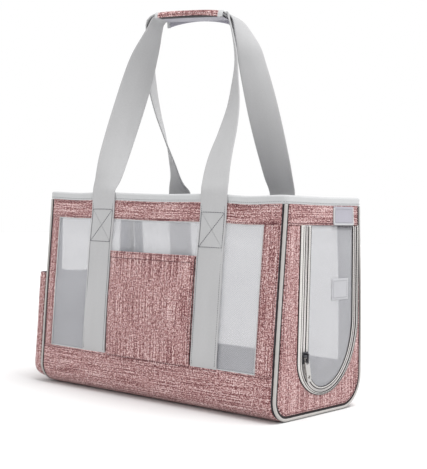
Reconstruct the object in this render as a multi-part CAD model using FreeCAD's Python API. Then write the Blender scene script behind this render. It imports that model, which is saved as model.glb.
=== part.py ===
"""Soft-sided pet carrier tote: woven-fabric belt, mesh windows, zipped end door and webbing handles.

Millimetres. X runs along the front, -Y is the front face, +Z is up, and the origin is the middle of the
base where the bag stands. The right end (+X) carries the zipped mesh door, the left end (-X) a pocket.
"""
import FreeCAD, Part
import math
import os

V = FreeCAD.Vector

# ---- driving dimensions -------------------------------------------------------------------------
LENGTH = 430.0           # over the corner piping, without the end pocket
BASE_DEPTH = 200.0       # front to back at the floor
TOP_DEPTH = 168.0        # front to back at the top of the rim
HEIGHT = 280.0           # floor to the top of the rim
GRIP_TOP = 537.0         # floor to the top of the padded grip
FRONT_CORNER_R = 28.0    # bottom corner of the end panels, front side
BACK_CORNER_R = 42.0     # bottom corner of the end panels, back side

# ---- fabric build-up ----------------------------------------------------------------------------
SHELL = 2.0              # woven outer fabric with its foam
LINING = 0.8
MESH = 0.8
WEBBING = 2.0
WEBBING_W = 44.0
PIPING_R = 2.5
FIT_GAP = 0.3            # air between pieces that move past each other

# ---- heights ------------------------------------------------------------------------------------
LOWER_BAND_TOP = 57.0
UPPER_BAND_BOTTOM = 243.0
RIM_BOTTOM = 269.0
STRAP_TOP = 262.0        # the stitched part of each strap ends here and its free leg starts
POCKET_TOP = 199.0
LEFT_POCKET_TOP = 161.0

# ---- places along the front ---------------------------------------------------------------------
FRONT_WINDOW_X = (-192.0, 182.0)
BACK_WINDOW_X = (-191.0, 178.0)
FRONT_STRAPS_X = (-101.0, 101.0)
BACK_STRAPS_X = (-112.5, 83.0)

# ---- derived ------------------------------------------------------------------------------------
LEAN = (BASE_DEPTH - TOP_DEPTH) / 2 / HEIGHT      # inward slope of the front and back walls
SEC = math.hypot(1.0, LEAN)
END_X = LENGTH / 2                                # outer face of the piping
BELT_X = END_X - 2 * PIPING_R                     # the belt panels stop at the piping
PANEL_X = (END_X - PIPING_R, END_X - PIPING_R + SHELL)    # end panels, inner and outer face
PANEL_INSET = 2 * PIPING_R                        # end panels stop at the piping's inner side
LEAN_ANGLE = math.atan(LEAN)

FRONT, BACK = -1, 1


def half_depth(z):
    """Distance of the outer wall plane from the middle plane at height z."""
    return BASE_DEPTH / 2 - LEAN * z


def save(name, shape):
    if not shape.isValid() or shape.Volume <= 0:
        raise ValueError(f"{name} is not a valid solid")
    shape.exportStep(f"parts/{name}.step")


def box(x0, x1, y0, y1, z0, z1):
    return Part.makeBox(x1 - x0, y1 - y0, z1 - z0, V(x0, y0, z0))


def prism_x(points, x0, x1):
    """Solid with a polygon section of (y, z) points, from x0 to x1."""
    ring = [V(x0, y, z) for y, z in points]
    face = Part.Face(Part.makePolygon(ring + ring[:1]))
    return face.extrude(V(x1 - x0, 0, 0))


def wall(side, x0, x1, z0, z1, d0, d1):
    """Slab in a leaning wall; d0 and d1 are depths below the wall's outer plane, positive inward."""
    return prism_x(
        [(side * (half_depth(z) - d), z) for z, d in ((z0, d0), (z1, d0), (z1, d1), (z0, d1))],
        x0, x1)


# ---- the rounded outline of the bag seen from its ends -------------------------------------------
def corner(side):
    """Bottom corner of one side: radius and centre (y, z)."""
    radius = FRONT_CORNER_R if side == FRONT else BACK_CORNER_R
    return radius, side * (BASE_DEPTH / 2 - LEAN * radius - SEC * radius), radius


def corner_points(side, inset):
    """Three points of the bottom arc, inset from the outer face: at the wall, midway, at the floor."""
    radius, yc, zc = corner(side)
    r = radius - inset
    angles = (LEAN_ANGLE, (LEAN_ANGLE - math.pi / 2) / 2, -math.pi / 2)
    return [(yc + side * r * math.cos(a), zc + r * math.sin(a)) for a in angles]


def corner_arc(x, side, inset, downward=True):
    points = [V(x, y, z) for y, z in corner_points(side, inset)]
    if not downward:
        points.reverse()
    return Part.Arc(*points).toShape()


def line(a, b):
    return Part.LineSegment(a, b).toShape()


def outline_edges(x, inset, z_top):
    """Edges of the end outline from the front wall's top, round the bottom, to the back wall's top."""
    f_wall, _, f_floor = corner_points(FRONT, inset)
    b_wall, _, b_floor = corner_points(BACK, inset)
    front_top = V(x, -(half_depth(z_top) - inset * SEC), z_top)
    back_top = V(x, half_depth(z_top) - inset * SEC, z_top)
    return [
        line(front_top, V(x, *f_wall)),
        corner_arc(x, FRONT, inset),
        line(V(x, *f_floor), V(x, *b_floor)),
        corner_arc(x, BACK, inset, downward=False),
        line(V(x, *b_wall), back_top),
        ]


def end_slab(x0, x1, inset, z_top):
    """Closed end shape between two x planes, inset from the bag's outer face."""
    edges = outline_edges(x0, inset, z_top)
    edges.append(line(edges[-1].Vertexes[-1].Point, edges[0].Vertexes[0].Point))
    return Part.Face(Part.Wire(edges)).extrude(V(x1 - x0, 0, 0))


def belt_corner(side, z_top, d0, d1):
    """Belt panel from z_top down the wall and round the bottom corner, between two depths."""
    outer = corner_points(side, d0)
    inner = corner_points(side, d1)
    x = -BELT_X
    top_out = V(x, side * (half_depth(z_top) - d0 * SEC), z_top)
    top_in = V(x, side * (half_depth(z_top) - d1 * SEC), z_top)
    edges = [
        line(top_out, V(x, *outer[0])),
        corner_arc(x, side, d0),
        line(V(x, *outer[2]), V(x, *inner[2])),
        corner_arc(x, side, d1, downward=False),
        line(V(x, *inner[0]), top_in),
        line(top_in, top_out),
        ]
    return Part.Face(Part.Wire(edges)).extrude(V(2 * BELT_X, 0, 0))


# ---- belt: bottom, lower bands, windows, strips, top bands ---------------------------------------
def floor_slab(z0, z1):
    _, front_y, _ = corner(FRONT)
    _, back_y, _ = corner(BACK)
    return box(-BELT_X, BELT_X, front_y, back_y, z0, z1)


def make_belt():
    save("bottom_panel", floor_slab(0, SHELL))
    save("floor_lining", floor_slab(SHELL, SHELL + LINING))
    for side, word, window_x in ((FRONT, "front", FRONT_WINDOW_X), (BACK, "back", BACK_WINDOW_X)):
        x0, x1 = window_x
        save(f"{word}_lower_band", belt_corner(side, LOWER_BAND_TOP, 0, SHELL))
        save(f"{word}_lower_lining", belt_corner(side, LOWER_BAND_TOP, SHELL, SHELL + LINING))
        save(f"{word}_left_strip",
             wall(side, -BELT_X, x0, LOWER_BAND_TOP, UPPER_BAND_BOTTOM, 0, SHELL))
        save(f"{word}_right_strip",
             wall(side, x1, BELT_X, LOWER_BAND_TOP, UPPER_BAND_BOTTOM, 0, SHELL))
        save(f"{word}_window",
             wall(side, x0, x1, LOWER_BAND_TOP, UPPER_BAND_BOTTOM, SHELL - MESH, SHELL))
        save(f"{word}_top_band", wall(side, -BELT_X, BELT_X, UPPER_BAND_BOTTOM, RIM_BOTTOM, 0, SHELL))
        save(f"{word}_top_lining",
             wall(side, -BELT_X, BELT_X, UPPER_BAND_BOTTOM, RIM_BOTTOM, SHELL, SHELL + LINING))


# ---- rim: folded binding with a stiff strip inside -----------------------------------------------
RIM_WALL = 1.5
RIM_WIDTH = 6.0
RIM_PROUD = 0.4          # how far the binding stands out of the top band
RIM_ROUND = 2.4


def loop(half_x, half_y, width, z0, z1):
    """Rectangular ring standing on z0, its outer side at half_x and half_y."""
    outer = box(-half_x, half_x, -half_y, half_y, z0, z1)
    return outer.cut(box(width - half_x, half_x - width, width - half_y, half_y - width, z0, z1))


def make_rim():
    half_x = END_X - 0.2
    half_y = half_depth(RIM_BOTTOM) + RIM_PROUD
    binding = loop(half_x, half_y, RIM_WIDTH, RIM_BOTTOM, HEIGHT)
    top_edges = [e for e in binding.Edges if abs(e.BoundBox.ZMin - HEIGHT) < 1e-6]
    binding = binding.makeFillet(RIM_ROUND, top_edges)
    slot_top = HEIGHT - RIM_WALL - 1.0
    slot = loop(half_x - RIM_WALL, half_y - RIM_WALL, RIM_WIDTH - 2 * RIM_WALL, RIM_BOTTOM, slot_top)
    save("rim_binding", binding.cut(slot))
    inset = RIM_WALL + FIT_GAP
    save("rim_stiffener", loop(half_x - inset, half_y - inset, RIM_WIDTH - 2 * inset,
                               RIM_BOTTOM + FIT_GAP, slot_top - FIT_GAP))


# ---- piping along both end seams -----------------------------------------------------------------
def make_piping():
    for sign, word in ((-1, "left"), (1, "right")):
        x = sign * (END_X - PIPING_R)
        spine = Part.Wire(outline_edges(x, PIPING_R, RIM_BOTTOM - FIT_GAP))
        start = spine.Edges[0]
        direction = start.tangentAt(start.FirstParameter)
        section = Part.Wire(Part.Circle(start.valueAt(start.FirstParameter), direction, PIPING_R).toShape())
        save(f"{word}_piping", spine.makePipeShell([section], True, False))


# ---- right end: panel, door opening, zip and door ------------------------------------------------
DOOR_TOP = 242.4
U_LOW_Y = 4.0            # where the opening is lowest
U_LEFT_Z = 73.0          # straight left side ends here
U_RIGHT_Z = 120.0        # straight right side ends here
U_RIGHT_LEAN = 4.5       # the right side leans in with the back wall
# left edge, right edge and bottom of each line round the opening, from the outside in
BINDING_OUT = (-53.0, 83.5, 26.0)
OPENING = (-44.0, 78.8, 28.6)
FRAME_TEETH_IN = (-40.2, 76.4, 30.4)
DOOR_TEETH_OUT = (-39.0, 75.4, 31.4)
DOOR_EDGE = (-36.0, 73.2, 33.2)
MESH_EDGE = (-31.5, 70.4, 35.2)
CURVE_STEPS = 16


def u_points(edge, z_top):
    """Points round a U: two straight sides and a bottom of two quarter ellipses."""
    left, right, bottom = edge
    points = [(left, z_top)]
    for i in range(CURVE_STEPS + 1):
        a = math.pi / 2 * i / CURVE_STEPS
        points.append((U_LOW_Y - (U_LOW_Y - left) * math.cos(a),
                       U_LEFT_Z - (U_LEFT_Z - bottom) * math.sin(a)))
    for i in range(1, CURVE_STEPS + 1):
        a = math.pi / 2 * i / CURVE_STEPS
        points.append((U_LOW_Y + (right - U_LOW_Y) * math.sin(a),
                       U_RIGHT_Z - (U_RIGHT_Z - bottom) * math.cos(a)))
    lean = U_RIGHT_LEAN * (z_top - U_RIGHT_Z) / (DOOR_TOP - U_RIGHT_Z)
    points.append((right - lean, z_top))
    return points


def u_slab(edge, x0, x1, z_top):
    return prism_x(u_points(edge, z_top), x0, x1)


def u_band(outer, inner, x0, x1, z_top):
    """Strip between two U lines, open at the top."""
    return u_slab(outer, x0, x1, z_top).cut(u_slab(inner, x0, x1, z_top + 1))


def make_right_end():
    x0, x1 = PANEL_X
    opening_top = UPPER_BAND_BOTTOM
    panel = end_slab(x0, x1, PANEL_INSET, RIM_BOTTOM)
    save("right_end_panel", panel.cut(u_slab(OPENING, x0, x1, opening_top)))
    lining = end_slab(x0 - LINING, x0, PANEL_INSET, RIM_BOTTOM)
    save("right_end_lining", lining.cut(u_slab(OPENING, x0 - LINING, x0, opening_top)))
    save("door_frame_binding", u_band(BINDING_OUT, OPENING, x1, x1 + 1.4, opening_top))
    save("door_frame_teeth", u_band(OPENING, FRAME_TEETH_IN, x0 + 0.2, x1 + 0.3, opening_top - 1))
    save("door_teeth", u_band(DOOR_TEETH_OUT, DOOR_EDGE, x0 + 0.2, x1 + 0.3, DOOR_TOP))
    save("door_binding", u_band(DOOR_EDGE, MESH_EDGE, x0 + 0.3, x1 + 0.8, DOOR_TOP))
    save("door_mesh", u_slab(MESH_EDGE, x0 + 0.8, x0 + 0.8 + MESH, DOOR_TOP))
    save("door_loop_patch", box(x0 + 0.8 + MESH, x0 + 2.0 + MESH, 18, 57, 146, 174))


# ---- zip slider and its pull ---------------------------------------------------------------------
SLIDER_Y = (FRAME_TEETH_IN[0] + DOOR_TEETH_OUT[0]) / 2     # middle of the closed chain
SLIDER_Z = 77.0
SLIDER_W = 11.5
SLIDER_H = 15.0
SLIDER_X = PANEL_X[1] + 1.4 + FIT_GAP                      # clear of the frame binding
PLATE_T = 1.6
BRIDGE_OUT = 4.6         # how far the bridge stands off the plate
BRIDGE_IN = 2.8          # clear height under the bridge
BRIDGE_W = 2.0
BRIDGE_HALF = 5.8        # half of the bridge's length
PIVOT_X = SLIDER_X + PLATE_T + BRIDGE_IN / 2
PIVOT_R = 0.8
PULL_W = 8.5
PULL_NECK = 8.0          # pivot to the top of the pull's plate
PULL_LENGTH = 31.0       # pivot to the pull's lower end
PULL_T = 1.6
PULL_LEAN = 13.0         # degrees that the pull hangs aside towards the door


def slider_plate(x0, x1, y0, y1):
    """Plate with two cut corners at its lower end, as seen from outside."""
    top = SLIDER_Z + SLIDER_H / 2
    low = SLIDER_Z - SLIDER_H / 2
    cut = 2.5
    points = [(y0, top), (y1, top), (y1, low + cut), (y1 - cut, low), (y0 + cut, low), (y0, low + cut)]
    return prism_x(points, x0, x1)


def make_slider():
    half = SLIDER_W / 2
    outer = slider_plate(SLIDER_X, SLIDER_X + PLATE_T, SLIDER_Y - half, SLIDER_Y + half)
    inner_x = PANEL_X[0] - LINING - 1.0
    inner = slider_plate(inner_x, PANEL_X[0] - FIT_GAP, SLIDER_Y - FIT_GAP, SLIDER_Y + half)
    web = box(inner_x, SLIDER_X + PLATE_T, SLIDER_Y - FIT_GAP, SLIDER_Y + FIT_GAP,
              SLIDER_Z - 4, SLIDER_Z + 4)
    z0, z1 = SLIDER_Z - BRIDGE_HALF, SLIDER_Z + BRIDGE_HALF
    y0, y1 = SLIDER_Y - BRIDGE_W / 2, SLIDER_Y + BRIDGE_W / 2
    x_top = SLIDER_X + PLATE_T
    bridge = box(x_top, x_top + BRIDGE_OUT, y0, y1, z0, z1)
    bridge = bridge.cut(box(x_top, x_top + BRIDGE_IN, y0, y1, z0 + 2, z1 - 2))
    save("slider_body", outer.fuse([inner, web, bridge]).removeSplitter())


def make_pull():
    bar = Part.makeCylinder(PIVOT_R, PULL_W, V(PIVOT_X, SLIDER_Y - PULL_W / 2, SLIDER_Z), V(0, 1, 0))
    x0, x1 = PIVOT_X - PULL_T / 2, PIVOT_X + PULL_T / 2
    arm = 1.8
    arms = [box(x0, x1, y, y + arm, SLIDER_Z - PULL_NECK, SLIDER_Z + PIVOT_R)
            for y in (SLIDER_Y - PULL_W / 2, SLIDER_Y + PULL_W / 2 - arm)]
    top, low, half = SLIDER_Z - PULL_NECK, SLIDER_Z - PULL_LENGTH, PULL_W / 2
    taper = 2.0
    plate = prism_x([(SLIDER_Y - half, top), (SLIDER_Y + half, top),
                     (SLIDER_Y + half, low + taper), (SLIDER_Y + half - taper, low),
                     (SLIDER_Y - half + taper, low), (SLIDER_Y - half, low + taper)], x0, x1)
    hole_z, hole = low + 6.0, 2.6
    diamond = prism_x([(SLIDER_Y - hole, hole_z), (SLIDER_Y, hole_z + hole),
                       (SLIDER_Y + hole, hole_z), (SLIDER_Y, hole_z - hole)], x0, x1)
    hung = plate.cut(diamond).fuse(arms)
    hung.rotate(V(PIVOT_X, SLIDER_Y, SLIDER_Z), V(1, 0, 0), PULL_LEAN)
    above = SLIDER_Z + 0.35                                # higher corners would catch the slider
    hung = hung.cut(box(x0 - 1, x1 + 1, SLIDER_Y - PULL_W, SLIDER_Y + PULL_W, above, above + 5))
    save("slider_pull", bar.fuse(hung).removeSplitter())


# ---- hook tab on the top band --------------------------------------------------------------------
TAB_Y = (18.0, 64.0)
TAB_Z = (243.6, 267.5)


def make_tab():
    x = PANEL_X[1]
    save("hook_tab", box(x + FIT_GAP, x + FIT_GAP + 1.5, *TAB_Y, *TAB_Z))


# ---- left end: panel, window, pocket -------------------------------------------------------------
LEFT_WINDOW_HALF = 62.0
POCKET_WALL = 1.5
LEFT_POCKET_OUT = 17.5   # how far the end pocket stands off
LEFT_POCKET_ROUND = 3.5


def make_left_end():
    x0, x1 = -PANEL_X[1], -PANEL_X[0]
    hole = (-LEFT_WINDOW_HALF, LEFT_WINDOW_HALF)
    panel = end_slab(x0, x1, PANEL_INSET, RIM_BOTTOM)
    save("left_end_panel", panel.cut(box(x0, x1, *hole, LEFT_POCKET_TOP, UPPER_BAND_BOTTOM)))
    lining = end_slab(x1, x1 + LINING, PANEL_INSET, RIM_BOTTOM)
    save("left_end_lining",
         lining.cut(box(x1, x1 + LINING, *hole, LEFT_POCKET_TOP, UPPER_BAND_BOTTOM)))
    save("left_window", box(x1 - MESH, x1, *hole, LEFT_POCKET_TOP, UPPER_BAND_BOTTOM))
    make_left_pocket(x0)


def make_left_pocket(panel_face):
    """Shallow pouch on the outside of the left end, open at the top."""
    out = panel_face - LEFT_POCKET_OUT
    shell = end_slab(out, panel_face, PANEL_INSET, LEFT_POCKET_TOP)
    rim = [e for e in shell.Edges
           if abs(e.BoundBox.XMax - out) < 1e-6 and e.BoundBox.ZMin < LEFT_POCKET_TOP - 1]
    shell = shell.makeFillet(LEFT_POCKET_ROUND, rim)
    hollow = end_slab(out + POCKET_WALL, panel_face, PANEL_INSET + POCKET_WALL, LEFT_POCKET_TOP + 5)
    save("left_pocket", shell.cut(hollow))


# ---- front pocket --------------------------------------------------------------------------------
FRONT_POCKET_OUT = 8.8   # outer face, ahead of the wall plane
FRONT_POCKET_WALL = 1.4


def make_front_pocket():
    x0 = FRONT_STRAPS_X[0] + WEBBING_W / 2 + 0.5
    x1 = FRONT_STRAPS_X[1] - WEBBING_W / 2 - 0.5
    z0 = LOWER_BAND_TOP + FIT_GAP
    t = FRONT_POCKET_WALL
    back = SHELL - MESH - FIT_GAP
    outer = wall(FRONT, x0, x1, z0, POCKET_TOP, -FRONT_POCKET_OUT, back)
    hollow = wall(FRONT, x0 + t, x1 - t, z0 + t, POCKET_TOP + 5, t - FRONT_POCKET_OUT, back + 1)
    save("front_pocket", outer.cut(hollow))


# ---- webbing straps and handle legs --------------------------------------------------------------
STRAP_LIFT = 0.6         # straps lie on top of the bands and the rim

# Centre line of each free leg above the stitching: x, distance from the middle plane, z, and how far
# the webbing has turned from lying along X towards lying along Y.
FRONT_LEFT_LEG = (
    (-101, 86.6, 262.8, 0), (-101, 86.3, 283, 0), (-98.7, 81, 300, 12), (-99.8, 70, 330, 28),
    (-99.5, 57, 365, 38), (-96, 46, 400, 46), (-91, 36.5, 435, 58), (-84.5, 28.5, 470, 74),
    (-76.7, 22.5, 498, 94), (-71.5, 20.2, 515, 106), (-67.5, 18.8, 526, 110), (-64.2, 17.6, 530.3, 110),
    )
FRONT_RIGHT_LEG = (
    (101, 86.6, 262.8, 0), (101, 86.3, 283, 0), (97.6, 80, 300, 2), (92.7, 67, 330, 8),
    (89.8, 50, 365, 20), (82.8, 32, 400, 32), (72.8, 17, 435, 42), (64.9, 6, 465, 50),
    (53.4, -4, 492, 56), (43.5, -12, 512, 62), (36.3, -19, 524, 69), (32.2, -17.6, 530.3, 70),
    )
BACK_LEFT_LEG = (
    (-112.5, 86.6, 262.8, 0), (-112.5, 86.3, 283, 0), (-111.8, 79, 300, 24), (-110.8, 65, 330, 40),
    (-110.6, 47, 365, 52), (-110.7, 30, 400, 58), (-109, 16, 435, 62), (-102.8, 2, 470, 65),
    (-88.5, -10.5, 498, 68), (-79.5, -17, 514, 70), (-72.7, -20.6, 527, 70), (-64.2, -17.6, 532.7, 70),
    )
BACK_RIGHT_LEG = (
    (83, 86.6, 262.8, 0), (83, 86.3, 283, 0), (80.6, 78, 310, 12), (76.4, 68, 345, 24),
    (71.8, 57, 385, 38), (67, 46.5, 425, 54), (62.8, 37, 460, 68), (59.5, 28.5, 490, 82),
    (52.5, 25, 510, 96), (44.5, 22.1, 524, 107), (32.2, 17.6, 532.7, 110),
    )


def ribbon(points, turns):
    """Webbing that follows points, its width turned by each angle from the X direction."""
    sections = []
    for i, p in enumerate(points):
        along = points[min(i + 1, len(points) - 1)] - points[max(i - 1, 0)]
        along.normalize()
        a = math.radians(turns[i])
        across = V(math.cos(a), math.sin(a), 0)
        across = across - along * across.dot(along)
        across.normalize()
        w = across * (WEBBING_W / 2)
        t = along.cross(across) * (WEBBING / 2)
        sections.append(Part.makePolygon([p - w - t, p + w - t, p + w + t, p - w + t, p - w - t]))
    return Part.makeLoft(sections, True, True)


def make_leg(name, side, route, turn_sign):
    points = [V(x, side * off, z) for x, off, z, _ in route]
    save(name, ribbon(points, [turn_sign * turn for *_, turn in route]))


def make_straps():
    for side, word, places in ((FRONT, "front", FRONT_STRAPS_X), (BACK, "back", BACK_STRAPS_X)):
        for x, end in zip(places, ("left", "right")):
            save(f"{word}_{end}_strap",
                 wall(side, x - WEBBING_W / 2, x + WEBBING_W / 2, LOWER_BAND_TOP + FIT_GAP, STRAP_TOP,
                      -STRAP_LIFT - WEBBING, -STRAP_LIFT))
    make_leg("front_left_leg", FRONT, FRONT_LEFT_LEG, 1)
    make_leg("front_right_leg", FRONT, FRONT_RIGHT_LEG, -1)
    make_leg("back_left_leg", BACK, BACK_LEFT_LEG, -1)
    make_leg("back_right_leg", BACK, BACK_RIGHT_LEG, 1)


# ---- padded grip -----------------------------------------------------------------------------------
GRIP_MID = -16.1         # middle of the grip along X
GRIP_LENGTH = 98.0
GRIP_TURN = 20.0         # degrees that the grip has swung about the vertical
PAD_T = 3.0
PAD_HALF = 23.2
FLAP_T = 2.2
FLAP_DROP = 12.6         # pad top to the flaps' lower edge
LOWER_WEB_Z = 529.3
UPPER_WEB_Z = 531.7


def make_grip():
    ends = (GRIP_MID - GRIP_LENGTH / 2, GRIP_MID + GRIP_LENGTH / 2)
    half = WEBBING_W / 2

    def save_turned(name, y0, y1, z0, z1):
        piece = box(*ends, y0, y1, z0, z1)
        piece.rotate(V(GRIP_MID, 0, 0), V(0, 0, 1), GRIP_TURN)
        save(name, piece)

    save_turned("grip_front_web", -half, half, LOWER_WEB_Z, LOWER_WEB_Z + WEBBING)
    save_turned("grip_back_web", -half, half, UPPER_WEB_Z, UPPER_WEB_Z + WEBBING)
    save_turned("grip_pad", -PAD_HALF, PAD_HALF, GRIP_TOP - PAD_T, GRIP_TOP)
    for side, word in ((FRONT, "front"), (BACK, "back")):
        near, far = sorted((side * (PAD_HALF + FIT_GAP), side * (PAD_HALF + FIT_GAP + FLAP_T)))
        save_turned(f"grip_{word}_flap", near, far, GRIP_TOP - FLAP_DROP, GRIP_TOP - 0.4)


# ---- loose pieces inside the cabin ----------------------------------------------------------------
BOARD_T = 3.0
MAT_T = 12.0


def make_inside():
    z = SHELL + LINING + FIT_GAP
    save("base_board", box(-203, 203, -72, 58, z, z + BOARD_T))
    z += BOARD_T + FIT_GAP
    mat = box(-201, 201, -77, 67, z, z + MAT_T)
    uprights = [e for e in mat.Edges if e.BoundBox.ZLength > MAT_T - 1e-6]
    save("mat", mat.makeFillet(12.0, uprights))


def main():
    os.makedirs("parts", exist_ok=True)
    make_belt()
    make_rim()
    make_piping()
    make_right_end()
    make_slider()
    make_pull()
    make_tab()
    make_left_end()
    make_front_pocket()
    make_straps()
    make_grip()
    make_inside()


main()
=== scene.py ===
import math

import bmesh
import bpy
import numpy as np
from mathutils import Matrix, Vector


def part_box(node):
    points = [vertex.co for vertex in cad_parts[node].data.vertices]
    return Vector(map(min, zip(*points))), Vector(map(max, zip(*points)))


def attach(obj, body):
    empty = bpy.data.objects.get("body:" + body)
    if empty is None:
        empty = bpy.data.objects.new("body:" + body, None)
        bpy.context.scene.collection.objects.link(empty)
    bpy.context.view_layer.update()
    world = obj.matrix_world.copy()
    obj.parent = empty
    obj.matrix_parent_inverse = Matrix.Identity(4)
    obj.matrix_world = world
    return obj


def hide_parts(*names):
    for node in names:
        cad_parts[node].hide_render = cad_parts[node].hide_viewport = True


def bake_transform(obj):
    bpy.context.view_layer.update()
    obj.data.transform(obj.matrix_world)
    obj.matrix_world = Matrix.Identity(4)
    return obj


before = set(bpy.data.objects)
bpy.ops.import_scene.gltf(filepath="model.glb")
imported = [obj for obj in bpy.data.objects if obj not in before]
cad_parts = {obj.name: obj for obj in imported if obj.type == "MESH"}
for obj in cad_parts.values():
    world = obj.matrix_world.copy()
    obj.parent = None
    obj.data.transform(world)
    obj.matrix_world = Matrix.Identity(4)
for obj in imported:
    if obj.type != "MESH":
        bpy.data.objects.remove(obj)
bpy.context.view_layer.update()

MM = 0.001
scene = bpy.context.scene
scene.view_settings.view_transform = "Standard"

# ---- sizes read from the frame ----
FRONT, BACK = SIDES = (-1, 1)
WORD = {FRONT: "front", BACK: "back"}
BAND_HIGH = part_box("front_lower_band")[1]
BELT_X, LOWER_TOP = BAND_HIGH.x, BAND_HIGH.z
UPPER_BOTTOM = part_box("front_left_strip")[1].z
RIM_Z0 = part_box("rim_binding")[0].z
RIM_X, RIM_Y, RIM_Z1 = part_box("rim_binding")[1]
TOP_BAND_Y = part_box("back_top_band")[1].y
LEAN = (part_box("back_right_strip")[1].y - TOP_BAND_Y) / (UPPER_BOTTOM - LOWER_TOP)
LEAN_ANGLE = math.atan(LEAN)
WALL_BASE = TOP_BAND_Y + LEAN * UPPER_BOTTOM      # half depth of the wall planes at the floor
SEC = math.hypot(1, LEAN)
FLOOR_LOW, FLOOR_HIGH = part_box("bottom_panel")
CORNER = {FRONT: -FLOOR_LOW.y, BACK: FLOOR_HIGH.y}
RADIUS = {side: (WALL_BASE - CORNER[side]) / (LEAN + SEC) for side in SIDES}
END_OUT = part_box("right_end_panel")[1].x
PIPE_LOW, PIPE_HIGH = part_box("right_piping")
PIPE_R = (PIPE_HIGH.x - PIPE_LOW.x) / 2
PIPE_X = PIPE_HIGH.x - PIPE_R
STRAPS = {side: [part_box(f"{WORD[side]}_{end}_strap") for end in ("left", "right")] for side in SIDES}
STRAP_X = {side: [(low.x + high.x) / 2 for low, high in STRAPS[side]] for side in SIDES}
WEB_W = STRAPS[FRONT][0][1].x - STRAPS[FRONT][0][0].x

# ---- sizes of the cloth ----
PANEL_T = 2.8 * MM             # outer fabric and its lining together
EDGE = PANEL_T / 2             # a panel's border turns round in this width
NET_T = 0.8 * MM
NET_EDGE = NET_T / 2
NET_HEM = 2 * MM
WEB_T = 2.0 * MM
SEAM_GAP = 2.3 * MM            # groove between a panel and the piping
REACH = BELT_X - SEAM_GAP      # half of a wall panel's length
UNDER_RIM = RIM_Z0 + 1.5 * MM  # the top bands end under the rim binding
ON_CLOTH = 0.05 * MM           # how far stitches stand off the cloth
U_POINTS = 110                 # points down each half of a U-shaped band
BEAD_SIDES = 6


def smooth(x, a, b):
    """0 before a, 1 after b and a soft step between."""
    t = np.clip((np.asarray(x, float) - a) / (b - a), 0, 1)
    return t * t * (3 - 2 * t)


def half_depth(z):
    return WALL_BASE - LEAN * z


# ---- how the fabric gives ----
END_BULGE = {FRONT: 0.5 * MM, BACK: 2.4 * MM}
WALL_SWELL = 1.8 * MM
WALL_RIPPLE = 0.55 * MM
RIM_DIPS = (1.4 * MM, 1.3 * MM, 2.0 * MM)         # left of the straps, between them and right of them
STRAP_LUMP = 2.1 * MM
# Heights over which each one rises and over which it falls again:
BULGE_SPAN = (0.0, 0.13), (0.14, 0.256)
SWELL_SPAN = (0.004, 0.06), (0.19, 0.256)
DIP_FROM = 0.2                 # the rim's dip fades out down to this height


def hump(z, rise, fall):
    """0 before rise and after fall, 1 between them."""
    return smooth(z, *rise) * (1 - smooth(z, *fall))


def ripple(a, b, seed):
    """Gentle unevenness, about -1 to 1, with waves 60 to 160 mm long."""
    return (np.sin(a * 41 + seed * 1.7) * np.cos(b * 53 - seed * 2.3)
            + 0.6 * np.sin(a * 83 - b * 37 + seed) + 0.4 * np.cos(b * 97 + a * 19 + seed * 0.7)) / 2


def end_bulge(side, z):
    """How far the walls' ends, and so the piping, stand out of the wall's plane."""
    return END_BULGE[side] * hump(z, *BULGE_SPAN)


def puff(side, x, z):
    """How far the front or back wall stands out of its plane."""
    across = np.clip(1 - (np.asarray(x) / BELT_X) ** 2, 0, 1)
    up = hump(z, *SWELL_SPAN)
    waves = WALL_RIPPLE * np.sqrt(across) * up * ripple(x, z, side + 2.0)
    return end_bulge(side, z) + WALL_SWELL * across ** 0.7 * up + waves


def rim_dip(side, x):
    """How far the rim hangs between the straps and the corners."""
    knots = [-BELT_X, *STRAP_X[side], BELT_X]
    x = np.asarray(x, float)
    dip = np.zeros_like(x)
    for a, b, depth in zip(knots, knots[1:], RIM_DIPS):
        dip = dip + depth * np.sin(np.pi * np.clip((x - a) / (b - a), 0, 1)) ** 2
    return dip


def over_strap(side, x, z):
    """The lower band's top edge rides over the straps' ends."""
    bump = 0
    for middle in STRAP_X[side]:
        past_edge = np.abs(np.asarray(x) - middle) - WEB_W / 2
        bump = bump + (1 - smooth(past_edge, -1.5 * MM, 3 * MM))
    return STRAP_LUMP * bump * smooth(z, LOWER_TOP - 16 * MM, LOWER_TOP - 4 * MM)


def on_wall(side, x, z, depth):
    """Points of the leaning wall, depth metres below its outer plane."""
    x, z = np.broadcast_arrays(np.asarray(x, float), np.asarray(z, float))
    y = side * (half_depth(z) - depth + puff(side, x, z))
    return np.stack([x, y, z - rim_dip(side, x) * smooth(z, DIP_FROM, RIM_Z0)], -1)


# ---- lines and grids ----
def unit(v):
    return v / np.maximum(np.linalg.norm(v, axis=-1, keepdims=True), 1e-12)


def tangents(path):
    return unit(np.gradient(path, axis=0))


def grid_normals(mid):
    return unit(np.cross(np.gradient(mid, axis=0), np.gradient(mid, axis=1)))


def lengths(line):
    """Distance along a line at each of its points."""
    return np.concatenate([[0], np.cumsum(np.linalg.norm(np.diff(line, axis=0), axis=1))])


def pick(values, length, at):
    """Rows of values at the distances in at; length holds the rows' own distances."""
    return np.stack([np.interp(at, length, column) for column in values.T], -1)


def resample(line, count):
    """count points at equal distances along a line."""
    line = np.asarray(line, float)
    length = lengths(line)
    return pick(line, length, np.linspace(0, length[-1], count))


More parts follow.
